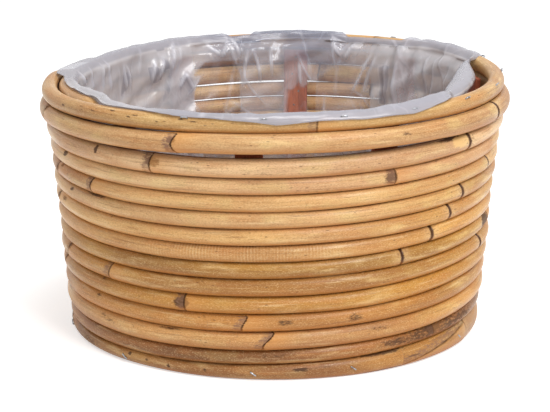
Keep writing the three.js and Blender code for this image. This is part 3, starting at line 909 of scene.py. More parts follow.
def crevice_grime_and_shade(node, turn, up, out):
    """Painted shade, with some dirt, along the lines where a cane touches its neighbours. Up and
    out are measured from the cane's middle. The painted shade is darkest in the deep groove under
    the rim cane at the left."""
    groove = ease(turn, -88, -76) * (1 - ease(turn, -30, -16))
    groove = np.maximum(groove, ease(turn, 272, 284) * (1 - ease(turn, 330, 344)))
    if node.startswith("cane_02"):
        above = np.exp(-((out + 2) / (1.7 + 1.5 * groove)) ** 2) * (up > 0) * (1 + 0.6 * groove)
    else:
        above = np.exp(-(out / 1.7) ** 2) * (up > 0)
    below = np.exp(-((out - 0.3) / 1.5) ** 2) * (up < 0)
    if not node.startswith(HOOPS[RIM].node):
        return above + below
    below = np.exp(-((out - 0.6) / (1.5 + 1.5 * groove)) ** 2) * (up < 0) * (1 + 0.6 * groove)
    # Painted shade beside the rim cane, where its two ends lie side by side.
    beside = 1.3 * np.exp(-(up / 2.8) ** 2)
    outer_part = (turn < RIM_END + 2) & (out < 0)
    inner_part = (turn > RIM_START + 360 - 8) & (out > 0)
    return below + beside * (outer_part | inner_part)


def signed_bearing(degrees):
    """A bearing from -180 to 180."""
    return (degrees + 180) % 360 - 180


def lap_joint(bearing, angle, reach, scar, fields):
    """Draws the foot cane's lap joint: a line like a scar's, and another tint beyond it."""
    share = (bearing - LAP_FROM[0]) / (LAP_TO[0] - LAP_FROM[0])
    line_angle = LAP_FROM[1] + np.clip(share, 0, 1.1) * (LAP_TO[1] - LAP_FROM[1])
    below = np.radians(line_angle - angle) * reach * 0.97
    in_lap = (share > 0) & (share < 1.02) & (np.abs(angle) < 90)
    nearer = in_lap & (np.abs(below) < np.abs(scar))
    fields["scar_strength"] = np.where(nearer, 0.8, fields["scar_strength"])
    fields["lapped"] = np.where(in_lap, ease(below, -0.4, 0.4), 0)
    beyond = (bearing >= LAP_TO[0]) & (bearing < 140)
    fields["lapped"] = np.where(beyond, 1 - ease(bearing, 80, 130), fields["lapped"])
    return np.where(nearer, below, scar)


def golden_share(bearing, height):
    """How golden a cane is, at its bearings and heights."""
    start, end = GOLDEN_SIDE
    rises, falls = GOLDEN_EDGES
    share = ease(bearing, start, start + rises) * (1 - ease(bearing, end - falls, end))
    return share * (1 - GOLDEN_LOSS * ease(height, *GOLDEN_FADES))


def paint_marks(mesh, marks, first_turn, last_turn):
    """Gives a cane's mesh the fields that its bark reads, raises its ring scars and sinks its
    stains."""
    count = len(mesh.vertices)
    bark = read_vectors(mesh.attributes["bark"].data, "vector")
    turn = np.degrees(bark[:, 0] / MM / ALONG_RADIUS)
    angle = np.degrees(np.arctan2(bark[:, 1], bark[:, 2]))
    reach = np.hypot(bark[:, 1], bark[:, 2]) / MM
    fields = {name: np.zeros(count) for name in ("stain", "rubbed", "ribbed", "scar_strength")}
    scar = np.full(count, 30.0)
    for mark in marks:
        bearing = mark.bearing
        while bearing < first_turn:
            bearing += 360
        along = np.radians(turn - bearing) * ALONG_RADIUS
        sideways = signed_bearing(angle - mark.angle)
        if mark.kind == "scar":
            radians = np.radians(sideways)
            bend = mark.slant * np.abs(radians) + mark.swing * np.sin(2 * radians)
            beyond = np.radians(np.maximum(0, np.abs(sideways) - mark.width)) * reach
            signed = along - bend
            distance = np.hypot(signed, beyond)
            nearer = distance < np.abs(scar)
            signed = np.where(beyond > 0, distance, signed)
            scar = np.where(nearer, signed, scar)
            fields["scar_strength"] = np.where(nearer, mark.strength, fields["scar_strength"])
        else:
            off = np.hypot(along / mark.length, np.radians(sideways) * reach / mark.width)
            value = mark.strength * (1 - ease(off, 0.25, 1.5))
            fields[mark.kind] = np.maximum(fields[mark.kind], value)
    fields["lapped"] = np.zeros(count)
    bearing = signed_bearing(turn)
    if mesh.name.startswith(HOOPS[FOOT].node):
        scar = lap_joint(bearing, angle, reach, scar, fields)
    tip = np.radians(np.minimum(turn - first_turn, last_turn - turn)) * ALONG_RADIUS
    points = read_vectors(mesh.vertices, "co")
    fields["golden"] = golden_share(bearing, points[:, 2] / MM)
    fields["dirt"] = crevice_grime_and_shade(mesh.name, turn, bark[:, 1] / MM, bark[:, 2] / MM)
    fields["scar"] = np.clip(scar, -30, 30) * MM
    fields["tip"] = np.clip(tip, 0, 30) * MM
    for name, values in fields.items():
        write_field(mesh, name, values)

    normals = read_vectors(mesh.vertex_normals, "vector")
    rise = 0.34 * np.exp(-(scar / 2.6) ** 2) - 0.4 * np.exp(-(scar / 0.8) ** 2)
    rise = rise * fields["scar_strength"] - 0.12 * fields["stain"]
    moved = points + normals * rise[:, None] * MM
    moved[:, 2] = np.maximum(moved[:, 2], 0)
    mesh.vertices.foreach_set("co", moved.ravel())
    mesh.update()


def saw_ends(mesh, material):
    """The faces that close a cane's ends show its end grain."""
    mesh.materials.append(material)
    for face in mesh.polygons:
        if len(face.vertices) > 4:
            face.material_index = 1
            face.use_smooth = False


def finish_cane(mesh, node, chance, turn, end_grain):
    """Paints a cane's marks, saws its ends and makes it a piece."""
    first_turn, last_turn = math.degrees(turn[0]), math.degrees(turn[-1])
    paint_marks(mesh, all_marks(node, chance), first_turn, last_turn)
    saw_ends(mesh, end_grain)
    new_piece(f"{node}_bark", mesh, "rattan_cane", node)


def make_canes(tree, end_grain):
    """The fifteen courses of the wall."""
    for place, hoop in enumerate(HOOPS):
        chance = np.random.default_rng(100 + place)
        bark = rattan_bark(hoop, 17.0 * place)
        mesh, turn = bent_cane(place, chance, tree, bark)
        finish_cane(mesh, hoop.node, chance, turn, end_grain)


def slat_faces(height):
    """Distances from the axis to a slat's outer and inner faces."""
    cone = FOOT_INNER_RADIUS + WALL_WIDENING * height
    facet_sag = cone * (1 - math.cos(math.pi / SOLID_STEPS))
    edge_sag = cone - math.sqrt(cone ** 2 - SLAT_HALF_WIDTH ** 2)
    outer = cone - facet_sag - edge_sag - SEAM
    return outer, outer - SLAT_THICKNESS / math.cos(math.atan(WALL_WIDENING))


def make_floor_ring(tree, end_grain):
    """The cane under the floor boards, inside the slats' feet."""
    chance = np.random.default_rng(7)
    half = FLOOR_RING_SIZE / 2
    low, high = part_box("floor_ring")
    height = (low[2] + high[2]) / 2 / MM
    ring_radius = (high[0] - low[0]) / 2 / MM - half
    joint = SLAT_FIRST_BEARING + 180
    half_gap = math.degrees(JOINT_GAP / 2 / ring_radius)
    start, end = joint + half_gap, joint + 360 - half_gap
    turn, _, _, shares = cane_stations(start, end, ring_radius)
    width = (half - 0.1 + waves(chance, turn, 0.08, 3, 9)) * shares
    points = around(ring_radius + waves(chance, turn, 0.1, 2, 6), turn, height)
    fields = {"half": width * MM, "across": width * MM, "along": turn * ALONG_RADIUS * MM}
    mesh = line_mesh("floor_ring_line", points, fields)
    hoop = Hoop("floor_ring", FLOOR_RING_SIZE, 0, joint, "#b98656", "#8f6441")
    bark = rattan_bark(hoop, 301.0)
    values = {"Sides": 18, "Unevenness": 0.2 * MM, "Shift": 77.0, "Bark": bark}
    mesh = grow("floor_ring", mesh, tree, values)
    finish_cane(mesh, "floor_ring", chance, turn, end_grain)


def worked_copy(node, bevel, waver, seed):
    """A copy of a wooden node with its loose triangles merged, its edges rubbed round and its
    faces cut into short lengths that waver a little, as sawn wood does."""
    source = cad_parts[node].data
    body = bmesh.new()
    body.from_mesh(source)
    bmesh.ops.remove_doubles(body, verts=body.verts, dist=1e-5)
    flat = math.radians(1)
    bmesh.ops.dissolve_limit(body, angle_limit=flat, verts=body.verts, edges=body.edges)
    bmesh.ops.bevel(body, geom=body.edges[:], offset=bevel * MM, segments=2, profile=0.6,
                    affect="EDGES", clamp_overlap=True)
    long_edges = [edge for edge in body.edges if edge.calc_length() > 0.06]
    bmesh.ops.subdivide_edges(body, edges=long_edges, cuts=11, use_grid_fill=True)
    chance = np.random.default_rng(seed)
    phases = chance.uniform(0, 2 * math.pi, 6)
    for vert in body.verts:
        x, y, z = vert.co / MM
        sway = math.sin(z / 31 + phases[0]) + math.sin(z / 13 + x / 29 + phases[1])
        bow = math.sin(y / 37 + phases[2]) + math.sin(y / 17 + x / 41 + phases[3])
        shift = waver * MM * 0.25 * (sway + bow)
        vert.co += Vector(vert.normal) * (shift - waver * MM)
    mesh = bpy.data.meshes.new(node)
    body.to_mesh(mesh)
    body.free()
    mesh.shade_smooth()
    mesh.set_sharp_from_angle(angle=math.radians(40))
    return mesh


def make_woodwork():
    """Slats, floor boards and battens."""
    slat_wood = stained_slat_wood()
    board_wood = sawn_board_wood("sawn softwood board", (190, 9, 190))
    batten_wood = sawn_board_wood("sawn softwood batten", (9, 190, 190))
    for number, node in enumerate(sorted(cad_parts)):
        if node.startswith("slat_"):
            mesh, slot = worked_copy(node, 0.7, 0.15, number), "stained_slat"
            mesh.materials.append(slat_wood)
        elif node.startswith("floor_board") or node.startswith("floor_batten"):
            mesh, slot = worked_copy(node, 0.6, 0.12, number), "floor_wood"
            mesh.materials.append(board_wood if "board" in node else batten_wood)
        else:
            continue
        new_piece(f"{node}_wood", mesh, slot, node)


def point_mesh(name, places, fields):
    """Loose points with a direction each for each field."""
    mesh = bpy.data.meshes.new(name)
    mesh.from_pydata([tuple(place) for place in places], [], [])
    for field_name, directions in fields.items():
        write_field(mesh, field_name, directions, "FLOAT_VECTOR")
    return mesh


def staple_tree():
    """Puts a bent staple at each point, crown along one field and facing along another."""
    named = {"Crown": "Float", "Wire": "Float", "Leg": "Float", "Metal": "Material"}
    tree, given = new_tree("staples", named)
    # Four corners: foot, shoulder, shoulder, foot.
    line = add(tree, "GeometryNodeMeshLine", {"Count": 4}).outputs[0]
    index = add(tree, "GeometryNodeInputIndex").outputs[0]
    side = math_node(tree, "SIGN", math_node(tree, "SUBTRACT", index, 1.5))
    from_middle = math_node(tree, "ABSOLUTE", math_node(tree, "SUBTRACT", index, 1.5))
    foot = math_node(tree, "GREATER_THAN", from_middle, 1.0)
    between_legs = math_node(tree, "SUBTRACT", given["Crown"], given["Wire"])
    half = math_node(tree, "MULTIPLY", between_legs, 0.5)
    crown_middle = math_node(tree, "MULTIPLY", given["Wire"], 0.5)
    drop = math_node(tree, "MULTIPLY", foot, math_node(tree, "ADD", given["Leg"], crown_middle))
    corner = add(tree, "ShaderNodeCombineXYZ", {
        "X": math_node(tree, "MULTIPLY", side, half),
        "Z": math_node(tree, "SUBTRACT", crown_middle, drop),
    }).outputs[0]
    line = add(tree, "GeometryNodeSetPosition", {"Geometry": line, "Position": corner}).outputs[0]
    wire = add(tree, "GeometryNodeMeshToCurve", {"Mesh": line}).outputs[0]
    inputs = {"Curve": wire, "Count": 4, "Radius": 0.0007}
    fillet = add(tree, "GeometryNodeFilletCurve", inputs, mode="POLY")
    inputs = {"Width": given["Wire"], "Height": given["Wire"]}
    square = add(tree, "GeometryNodeCurvePrimitiveQuadrilateral", inputs).outputs[0]
    inputs = {"Curve": fillet.outputs[0], "Profile Curve": square, "Fill Caps": True}
    staple = add(tree, "GeometryNodeCurveToMesh", inputs).outputs[0]
    drive, crown = (named_field(tree, name, "FLOAT_VECTOR") for name in ("drive", "crown"))
    turn = add(tree, "FunctionNodeAxesToRotation",
               {"Primary Axis": drive, "Secondary Axis": crown},
               primary_axis="Z", secondary_axis="X")
    inputs = {"Points": given["Geometry"], "Instance": staple, "Rotation": turn.outputs[0]}
    placed = add(tree, "GeometryNodeInstanceOnPoints", inputs).outputs[0]
    close_tree(tree, placed, given["Metal"])
    return tree


def drive_staples(kind, places, drive, crown, tree, values):
    """Puts the staples of one kind in their places, as one piece that replaces their nodes."""
    mesh = point_mesh(f"{kind}_points", places, {"drive": drive, "crown": crown})
    mesh = grow(f"{kind}s", mesh, tree, values)
    nodes = [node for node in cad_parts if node.startswith(kind)]
    new_piece(f"{kind}s", mesh, "steel_wire", *nodes)


def tangents(turn):
    """Directions along a hoop at bearings in radians."""
    return np.stack([np.cos(turn), np.sin(turn), 0 * turn], axis=-1)


def make_staples():
    """The staples that hold the foot cane on the slats, and the film on the rim cane."""
    tree = staple_tree()
    values = {
        "Crown": STAPLE_CROWN * MM,
        "Wire": STAPLE_WIRE * MM,
        "Leg": STAPLE_LEG * MM,
        "Metal": galvanised_wire(),
    }
    turn = np.radians(np.array(FOOT_STAPLE_BEARINGS))
    skew = math.radians(FOOT_STAPLE_SKEW)
    outward = around(1, turn, 0) / MM
    crown = tangents(turn) * math.cos(skew) + np.array([0, 0, math.sin(skew)])
    reach = hoop_radius(FOOT, turn) + half_width(FOOT, turn) + SEAM
    places = around(reach, turn, middle(FOOT, turn))
    drive_staples("foot_staple", places, outward, crown, tree, values)

    turn = np.radians(np.array(FILM_STAPLE_BEARINGS))
    slope = math.pi / 4
    drive = around(math.cos(slope), turn, math.sin(slope)) / MM
    reach = half_height(RIM, turn) + FILM_STAPLE_LIFT
    radius = hoop_radius(RIM, turn) + reach * math.cos(slope)
    places = around(radius, turn, middle(RIM, turn) + reach * math.sin(slope))
    drive_staples("film_staple", places, drive, tangents(turn), tree, values)


def brad_tree():
    """Puts a flat round brad head at each point, facing along a field."""
    tree, given = new_tree("brads", {"Radius": "Float", "Height": "Float", "Metal": "Material"})
    inputs = {"Vertices": 10, "Radius": given["Radius"], "Depth": given["Height"]}
    head = add(tree, "GeometryNodeMeshCylinder", inputs).outputs[0]
    inputs = {"Vector": named_field(tree, "drive", "FLOAT_VECTOR")}
    turn = add(tree, "FunctionNodeAlignRotationToVector", inputs, axis="Z")
    inputs = {"Points": given["Geometry"], "Instance": head, "Rotation": turn.outputs[0]}
    placed = add(tree, "GeometryNodeInstanceOnPoints", inputs).outputs[0]
    close_tree(tree, placed, given["Metal"])
    return tree


def make_brads():
    """Brad heads on the slats' inner faces, one for each hoop, and on the floor boards."""
    chance = np.random.default_rng(21)
    places, directions = [], []
    level = math.cos(math.atan(WALL_WIDENING))
    for number in range(SLAT_COUNT):
        bearing = math.radians(SLAT_FIRST_BEARING + SLAT_SPACING * number)
        inward = -around(level, np.array(bearing), 0) / MM
        inward = inward + np.array([0, 0, WALL_WIDENING * level])
        side = np.array([math.cos(bearing), math.sin(bearing), 0])
        for place in range(1, len(HOOPS)):
            height = float(middle(place, np.array(bearing))) + chance.uniform(-1, 1)
            distance = slat_faces(height)[1] + BRAD_OFF_SLAT
            point = around(distance, np.array(bearing), height)
            places.append(point + side * chance.uniform(-5, 5) * MM)
            directions.append(inward)
    for number in range(BOARD_COUNT):
        low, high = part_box(f"floor_board_{number + 1}")
        across = (low[0] + high[0]) / 2 / MM
        for end in (-1, 1):
            reach = math.sqrt(max(0, BRAD_REACH ** 2 - across ** 2))
            point = (across + chance.uniform(-4, 4), end * reach, FLOOR_TOP - BRAD_DEPTH)
            places.append(np.array(point) * MM)
            directions.append(np.array([0, 0, 1]))
    mesh = point_mesh("brad_points", places, {"drive": directions})
    values = {
        "Radius": BRAD_RADIUS * MM,
        "Height": BRAD_HEIGHT * MM,
        "Metal": bright_brad_steel(),
    }
    mesh = grow("brads", mesh, brad_tree(), values)
    new_piece("brad_heads", mesh, "steel_wire")


# The film was cut as a round sheet, of a guessed size, and gathered into the basket. It is this
# many millimetres thick.
FILM_THICKNESS = 0.3
# How far its smooth surface stays off the rim cane, the slats and the floor.
FILM_LIFT = 1.5
FILM_OFF_SLATS = 0.9
FILM_OFF_FLOOR = 0.7
# Widths along the film's wall are turns times this radius.
FILM_RADIUS = 178
# How milky it is where it lies on the floor, and how far its middle is above the boards.
FLOOR_MILK = 0.35
FILM_MIDDLE_RISE = 0.9
# It has so many creases, and patches of more or less milk, at random.
RANDOM_CREASES = 150
RANDOM_PATCHES = 46
# The film's wall runs up to the slats' faces at this height.
SLAT_TOP = 205
# How far the film's edge reaches round the rim cane: bearing, and side angle above level.
FILM_EDGE = (
    (-42, 84), (-33, 86), (-30, 68), (-24, 50), (-17, 46), (-13.5, 42), (-7.5, 30), (-4, 24),
    (0.5, 8), (4, 14), (10, 24), (17.5, 24), (20.5, 18), (28, 22), (34, 18), (39, 36),
    (44, 54), (49, 80), (57, 86), (62, 88), (100, 82), (106, 42), (112, 26), (120, 20),
    (132, 26), (137, 70), (140, 132), (158, 138), (163, 40), (172, 26), (183, 30), (187, 128),
    (193, 128), (197, 36), (210, 22), (242, 24), (252, 44), (264, 74), (300, 88), (310, 88),
    (318, 84),
)
# Here the film isn't turned down over the rim. It stands in from it and flops on inwards, in
# an arch.
FILM_STANDS_FROM = 51
FILM_STANDS_TO = 106
FILM_STANDS_IN = 10
FILM_FLOP = 18
FILM_ARCH = 7
# Here it reaches over the outer end of the rim cane, as well as over the inner one.
FILM_OVER_BOTH = (243.5, 272)
# Between these bearings the film crumples under the rim, and there its colour is darkened to a
# blue-grey: painted shade from the rim above it.
FILM_SHADED_CRUMPLE = (150, 206)
# How far its crest stands off the rim cane's inner upper side: bearing and height.
FILM_CREST = (
    (0, 0.3), (14, 0.6), (22, 0.4), (34, 2.2), (44, 4.4), (50, 5.6), (56, 4.2), (60, 1.5),
    (105, 0.8), (112, 0.3), (120, 0.8), (127.5, 2.2), (134, 0.8), (141, 0.1), (158, 0.1),
    (164, 1.8), (176, 1.2), (187, 0.2), (194, 0.2), (205, 0.3), (222, 0.3), (232, 1.2),
    (246, 0.6), (262, 0.8), (275, 1.6), (285, 3.2), (300, 5.0), (308, 5.2), (316, 4.2),
    (324, 2.6), (335, 1.2), (345, 0.5), (359.9, 0.3),
)


class Crease(NamedTuple):
    """A folded edge in the film: bearing and height of its middle, lean from upright in
    degrees, length, rise, widths of its steep and gentle sides, and bend per millimetre."""

    bearing: float
    height: float
    lean: float
    length: float
    rise: float
    steep: float = 1.5
    gentle: float = 8
    bend: float = 0.0


CREASES = (
    Crease(262, 200, 24, 22, 2.2, 1.2, 5, 0.01), Crease(254, 198, 4, 20, 1.6, 1, 4),
    Crease(247, 196, -5, 24, 1.6, 1, 4), Crease(243, 194, 6, 30, 1.8, 1.2, 6),
    Crease(233.5, 188, 16, 26, 2.6, 1.4, 5, 0.012), Crease(231, 188, 16, 26, 2.2, 1.2, 4, -0.012),
    Crease(220.5, 188, -12, 26, 3.4, 1.6, 7, 0.01), Crease(217.5, 190, -20, 24, 2.6, 1.4, 5),
    Crease(213, 198, -14, 34, 3.6, 1.4, 7, 0.004), Crease(207.5, 176, 30, 20, 2.2, 1.2, 5),
    Crease(210, 178, -34, 18, 2.2, 1.2, 5), Crease(199, 205, 40, 16, 2.4, 1.2, 4),
    Crease(195, 204, -35, 18, 2.4, 1.2, 4), Crease(192, 206, 20, 18, 2.6, 1.2, 4),
    Crease(189.5, 184, -8, 34, 3, 1.3, 6, 0.004), Crease(185, 186, 12, 30, 2.6, 1.3, 5, -0.006),
    Crease(181, 190, 3, 26, 1.8, 1.2, 5), Crease(172, 180, 5, 26, 2.4, 1.3, 5),
    Crease(160.5, 203, 50, 16, 2.6, 1.2, 4), Crease(156.5, 203, -30, 18, 2.6, 1.2, 4),
    Crease(152.5, 182, -26, 44, 3, 1.3, 6), Crease(149.5, 184, -24, 40, 2.2, 1.2, 5),
    Crease(144, 178, 3, 42, 3.4, 1.5, 8, 0.009), Crease(139.5, 180, -2, 40, 3, 1.4, 7, 0.009),
    Crease(128, 190, 4, 34, 3, 1.4, 7, 0.006), Crease(124, 186, -10, 38, 2.8, 1.4, 6, -0.008),
    Crease(118, 182, -16, 44, 2.6, 1.4, 8), Crease(109, 186, -20, 40, 2.6, 1.4, 7, 0.006),
)


class Panel(NamedTuple):
    """A clearer or milkier part of the film, where it lies single or folded double: its
    corners as bearings and heights, and how milky it is."""

    milk: float
    corners: tuple


PANELS = (
    Panel(0.7, ((276, 60), (276, 240), (206, 240), (206, 60))),
    Panel(0.08, ((205.8, 100), (206, 186), (202, 196), (191, 197), (190.4, 100))),
    Panel(0.34, ((190.4, 100), (190.6, 196), (166.5, 196), (168, 178), (171, 171), (172, 177),
                 (174, 170), (176, 168), (176.4, 100))),
    Panel(0.0, ((176.4, 100), (176, 168), (174, 170), (172, 177), (171, 171), (168, 178),
                 (166.6, 176), (166.4, 100))),
    Panel(0.16, ((166.2, 100), (166.4, 180), (160, 194), (149, 190), (147.6, 100))),
    Panel(0.42, ((151.8, 170), (150.2, 200), (147.8, 200), (150, 170))),
    Panel(0.6, ((147.6, 60), (149, 190), (146, 240), (60, 240), (60, 60))),
    Panel(0.5, ((138, 150), (138.6, 196), (129.5, 196), (129, 150))),
    Panel(0.85, ((146, 160), (146, 196), (142, 198), (141.5, 176), (143, 160))),
    Panel(0.8, ((211.5, 184), (203.4, 184), (205.5, 176), (207.6, 167), (209.5, 176))),
    Panel(0.95, ((222, 197), (217.5, 196), (217, 184), (219, 180), (221.5, 186))),
    Panel(0.9, ((234.5, 196), (230.8, 199), (231.6, 184), (235.2, 176))),
)


def film_grid():
    """Bearings of the film's columns in degrees, and the shares of its floor, wall and lip at
    its rows."""
    fine = np.arange(98, 266, 0.52)
    coarse = np.arange(266, 458, 1.15)
    floor_rows = np.array([0.06, 0.2, 0.34, 0.47, 0.59, 0.69, 0.78, 0.86, 0.93, 0.975])
    low_rows = np.linspace(0, 0.52, 13)
    high_rows = np.linspace(0.52, 1, 49)[1:]
    lip_rows = np.linspace(0, 1, 19)[1:]
    wall_rows = np.concatenate([low_rows, high_rows])
    return np.concatenate([fine, coarse]), floor_rows, wall_rows, lip_rows


def film_edge_angle(degrees):
    """Side angle above level at which the film ends on the rim cane."""
    bearings, angles = np.array(FILM_EDGE).T
    return np.interp(degrees % 360, bearings % 360, angles, period=360)


def film_lip(columns, lip_rows, lip_radius, lip):
    """Radius and height of the film from the inside of the rim cane over its top."""
    rim_middle = middle(RIM, np.radians(columns))
    end = np.radians(film_edge_angle(columns))
    counted = columns % 360
    reach_from, reach_to = FILM_OVER_BOTH
    extra = ease(counted, reach_from, reach_from + 3) * (1 - ease(counted, reach_to - 7, reach_to))
    extra = extra * (HOOPS[RIM].size + RIM_OVERLAP_GAP) * (0.25 + 0.4 * ease(counted, 246, 266))
    inner_arc = lip * math.pi / 2
    along = lip_rows * (lip * (math.pi - end) + extra)
    flat = np.clip(along - inner_arc, 0, extra)
    angle = math.pi - (along - flat) / lip
    radii = lip_radius + lip * np.cos(angle) + flat
    heights = rim_middle + lip * np.sin(angle)
    crest_bearings, crests = np.array(FILM_CREST).T
    crest = np.interp(counted, crest_bearings, crests, period=360)
    crest = crest * np.sin(math.pi * np.clip(lip_rows / 0.75, 0, 1)) ** 0.8
    return radii - 0.35 * crest, heights + crest


def film_surface(degrees):
    """Radius and height of the smooth film at each column and row, without its folds."""
    columns = degrees[:, None]
    turn = np.radians(columns)
    _, floor_rows, wall_rows, lip_rows = film_grid()
    floor_edge = slat_faces(FLOOR_TOP)[1] - FILM_OFF_SLATS
    floor_level = FLOOR_TOP + FILM_OFF_FLOOR
    rim_end = RIM_END + 360
    counted = columns % 360
    released = 1 - ease(counted, rim_end - 6, rim_end + 6)
    lip_radius = hoop_radius(RIM, turn) - rim_inset(counted) * released
    rim_middle = middle(RIM, turn)
    lip = half_height(RIM, turn) + FILM_LIFT
    slat_top = underside(RIM, turn) - SEAM
    slat_inner = slat_faces(SLAT_TOP)[1] - FILM_OFF_SLATS

    heights = floor_level + (rim_middle - floor_level) * wall_rows
    upright = np.clip((heights - floor_level) / (slat_top - floor_level), 0, 1)
    top_radius = np.minimum(slat_inner, lip_radius - lip)
    radii = floor_edge + (top_radius - floor_edge) * upright
    over = np.clip((heights - slat_top) / (rim_middle - slat_top), 0, 1)
    radii = radii + (lip_radius - lip - top_radius) * over
    lip_radii, lip_heights = film_lip(columns, lip_rows, lip_radius, lip)

    # At the right it stands in from the rim and flops on inwards.
    stands = ease(counted, FILM_STANDS_FROM - 6, FILM_STANDS_FROM + 8)
    stands = stands * (1 - ease(counted, FILM_STANDS_TO - 5, FILM_STANDS_TO + 5))
    drawn = (counted - FILM_STANDS_FROM + 3) / (FILM_STANDS_TO - FILM_STANDS_FROM + 6)
    drawn = np.sin(np.pi * np.clip(drawn, 0, 1)) ** 0.6
    stand_radii = lip_radius - lip - drawn * (FILM_STANDS_IN + FILM_FLOP * lip_rows ** 1.5)
    stand_heights = rim_middle + FILM_ARCH * np.sin(0.8 * math.pi * lip_rows)
    lip_radii = lip_radii + (stand_radii - lip_radii) * stands
    lip_heights = lip_heights + (stand_heights - lip_heights) * stands
    radii = radii - ease(heights, 130, 207) * FILM_STANDS_IN * drawn * stands

    floor_radii = floor_edge * floor_rows + 0 * turn
    floor_heights = floor_level + 0 * floor_radii
    radius = np.concatenate([floor_radii, radii, lip_radii], axis=1)
    height = np.concatenate([floor_heights, heights, lip_heights], axis=1)
    round_corner(radius, len(floor_rows))
    round_corner(height, len(floor_rows))
    return radius, height


def round_corner(grid, corner):
    """Smooths a grid's rows where the floor turns up into the wall."""
    near = slice(corner - 3, corner + 3)
    for _ in range(3):
        before, after = grid[:, corner - 4:corner + 2], grid[:, corner - 2:corner + 4]
        grid[:, near] = (before + 2 * grid[:, near] + after) / 4


def crease_rise(crease, degrees, path):
    """How far a crease lifts the film, and how near its folded edge is: 1 on the edge."""
    across = np.radians(signed_bearing(degrees - crease.bearing)) * FILM_RADIUS
    up = path - crease.height
    lean = math.radians(crease.lean)
    along = across * math.sin(lean) + up * math.cos(lean)
    off = across * math.cos(lean) - up * math.sin(lean) + crease.bend * along ** 2
    side = np.where(off > 0, crease.steep, crease.gentle)
    taper = 1 - ease(np.abs(along), 0.2 * crease.length, 0.62 * crease.length)
    near = np.exp(-np.abs(off) / side) * taper
    edge = np.exp(-(off / 1.3) ** 2) * taper
    return crease.rise * near, edge


def random_creases(chance, count):
    """Creases at random all round, most of them near upright. They rise less high up in the
    wall."""
    creases = []
    for _ in range(count):
        bend = chance.normal(0, 0.006)
        height = chance.uniform(30, 215)
        rise = chance.uniform(0.6, 2.6) * chance.choice([1, 1, -0.6])
        rise = rise * (1 - 0.45 * float(ease(height, 120, 150)))
        creases.append(Crease(
            chance.uniform(0, 360), height, chance.normal(0, 26), chance.uniform(20, 90), rise,
            chance.uniform(1, 2.4), chance.uniform(4, 16), bend))
    return creases


def inside_panel(panel, degrees, height):
    """0 to 1 into a panel, over about a millimetre at its edges."""
    corners = [(math.radians(bearing) * FILM_RADIUS, up) for bearing, up in panel.corners]
    across = np.radians(degrees % 360) * FILM_RADIUS
    nearest = np.full(across.shape, 1e3)
    crossings = np.zeros(across.shape, dtype=bool)
    for (x0, y0), (x1, y1) in zip(corners, corners[1:] + corners[:1]):
        edge_x, edge_y = x1 - x0, y1 - y0
        share = ((across - x0) * edge_x + (height - y0) * edge_y) / (edge_x ** 2 + edge_y ** 2)
        share = np.clip(share, 0, 1)
        gap = np.hypot(across - x0 - share * edge_x, height - y0 - share * edge_y)
        nearest = np.minimum(nearest, gap)
        if y0 != y1:
            spans = (height < y0) != (height < y1)
            crossing = x0 + (height - y0) * edge_x / edge_y
            crossings ^= spans & (across < crossing)
    signed = np.where(crossings, nearest, -nearest)
    return ease(signed, -1.0, 1.0)


def wall_lift(chance, columns, path, height, on_lip):
    """How far billows, gathers, slats and creases move the film off its smooth surface, and
    how near a folded edge is: 1 on the edge."""
    turn = np.radians(columns)
    billow = waves(chance, turn, 1.1, 5, 16) + waves(chance, turn + path / 90, 0.9, 14, 30)
    gathers = waves(chance, turn + 0.02 * np.sin(path / 30), 1, 34, 60)
    calm = 0.5 * ease(columns, 212, 222) * (1 - ease(columns, 275, 290))
    gathers = gathers * (2.0 - (1.1 + calm) * ease(path, 110, 160))
    half_spacing = SLAT_SPACING / 2
    to_slat = (columns - SLAT_FIRST_BEARING + half_spacing) % SLAT_SPACING - half_spacing
    from_slat = np.abs(np.radians(to_slat) * FILM_RADIUS)
    between = ease(from_slat, SLAT_HALF_WIDTH, 26)
    settled = 1 - ease(height, 176, 196)
    lift = 1.6 + billow + gathers - 3.0 * between * settled
    edge = 0 * lift
    for crease in (*CREASES, *random_creases(chance, RANDOM_CREASES)):
        rise, near = crease_rise(crease, columns, path)
        lift = lift + rise
        edge = np.maximum(edge, near * min(1, abs(crease.rise) / 2))
    fade = ease(path, FLOOR_TOP, FLOOR_TOP + 30) * (1 - 0.75 * ease(on_lip, 0, 0.25))
    lowest = 0.1 - 3.2 * between * settled
    free = ease(columns, FILM_STANDS_FROM + 360, FILM_STANDS_FROM + 368)
    free = free + 1 - ease(columns, FILM_STANDS_TO - 8, FILM_STANDS_TO)
    fade = fade * (1 - 0.8 * free * ease(height, 180, 205))
    return np.maximum(lift, lowest) * fade, edge


def lip_ripples(chance, columns, path, on_lip):
    """Ripples in the film on the rim cane, which its staples hold flat."""
    turn = np.radians(columns)
    nearest_staple = np.full(columns.shape, 99.0)
    for bearing in FILM_STAPLE_BEARINGS:
        away = np.abs(signed_bearing(columns - bearing))
        nearest_staple = np.minimum(nearest_staple, np.radians(away) * 200)
    pinned = 1 - ease(nearest_staple, 2, 14)
    ripple = 0.25 + waves(chance, turn + 0.01 * path, 0.14, 50, 95)
    ripple = ripple + waves(chance, turn, 0.3, 12, 30)
    return np.maximum(0.0, ripple) * (1 - pinned) * ease(on_lip, 0, 0.3)


def panel_milk(chance, columns, height):
    """How milky the film is in its panels, and in patches at random."""
    milk = 0.5 + 0 * height
    for panel in PANELS:
        share = inside_panel(panel, columns, height) * ease(height, 70, 140)
        milk = milk + (panel.milk - milk) * share
    for _ in range(RANDOM_PATCHES):
        left, width = chance.uniform(0, 360), chance.uniform(2, 11)
        low, tall = chance.uniform(60, 200), chance.uniform(14, 60)
        slip = chance.uniform(-6, 6)
        corners = ((left, low), (left + width / 2, low - 3), (left + width / 2 + slip, low + tall),
                   (left + slip, low + tall + chance.uniform(-8, 8)))
        share = inside_panel(Panel(0, corners), columns, height)
        milk = milk + chance.uniform(-0.12, 0.2) * share
    return milk


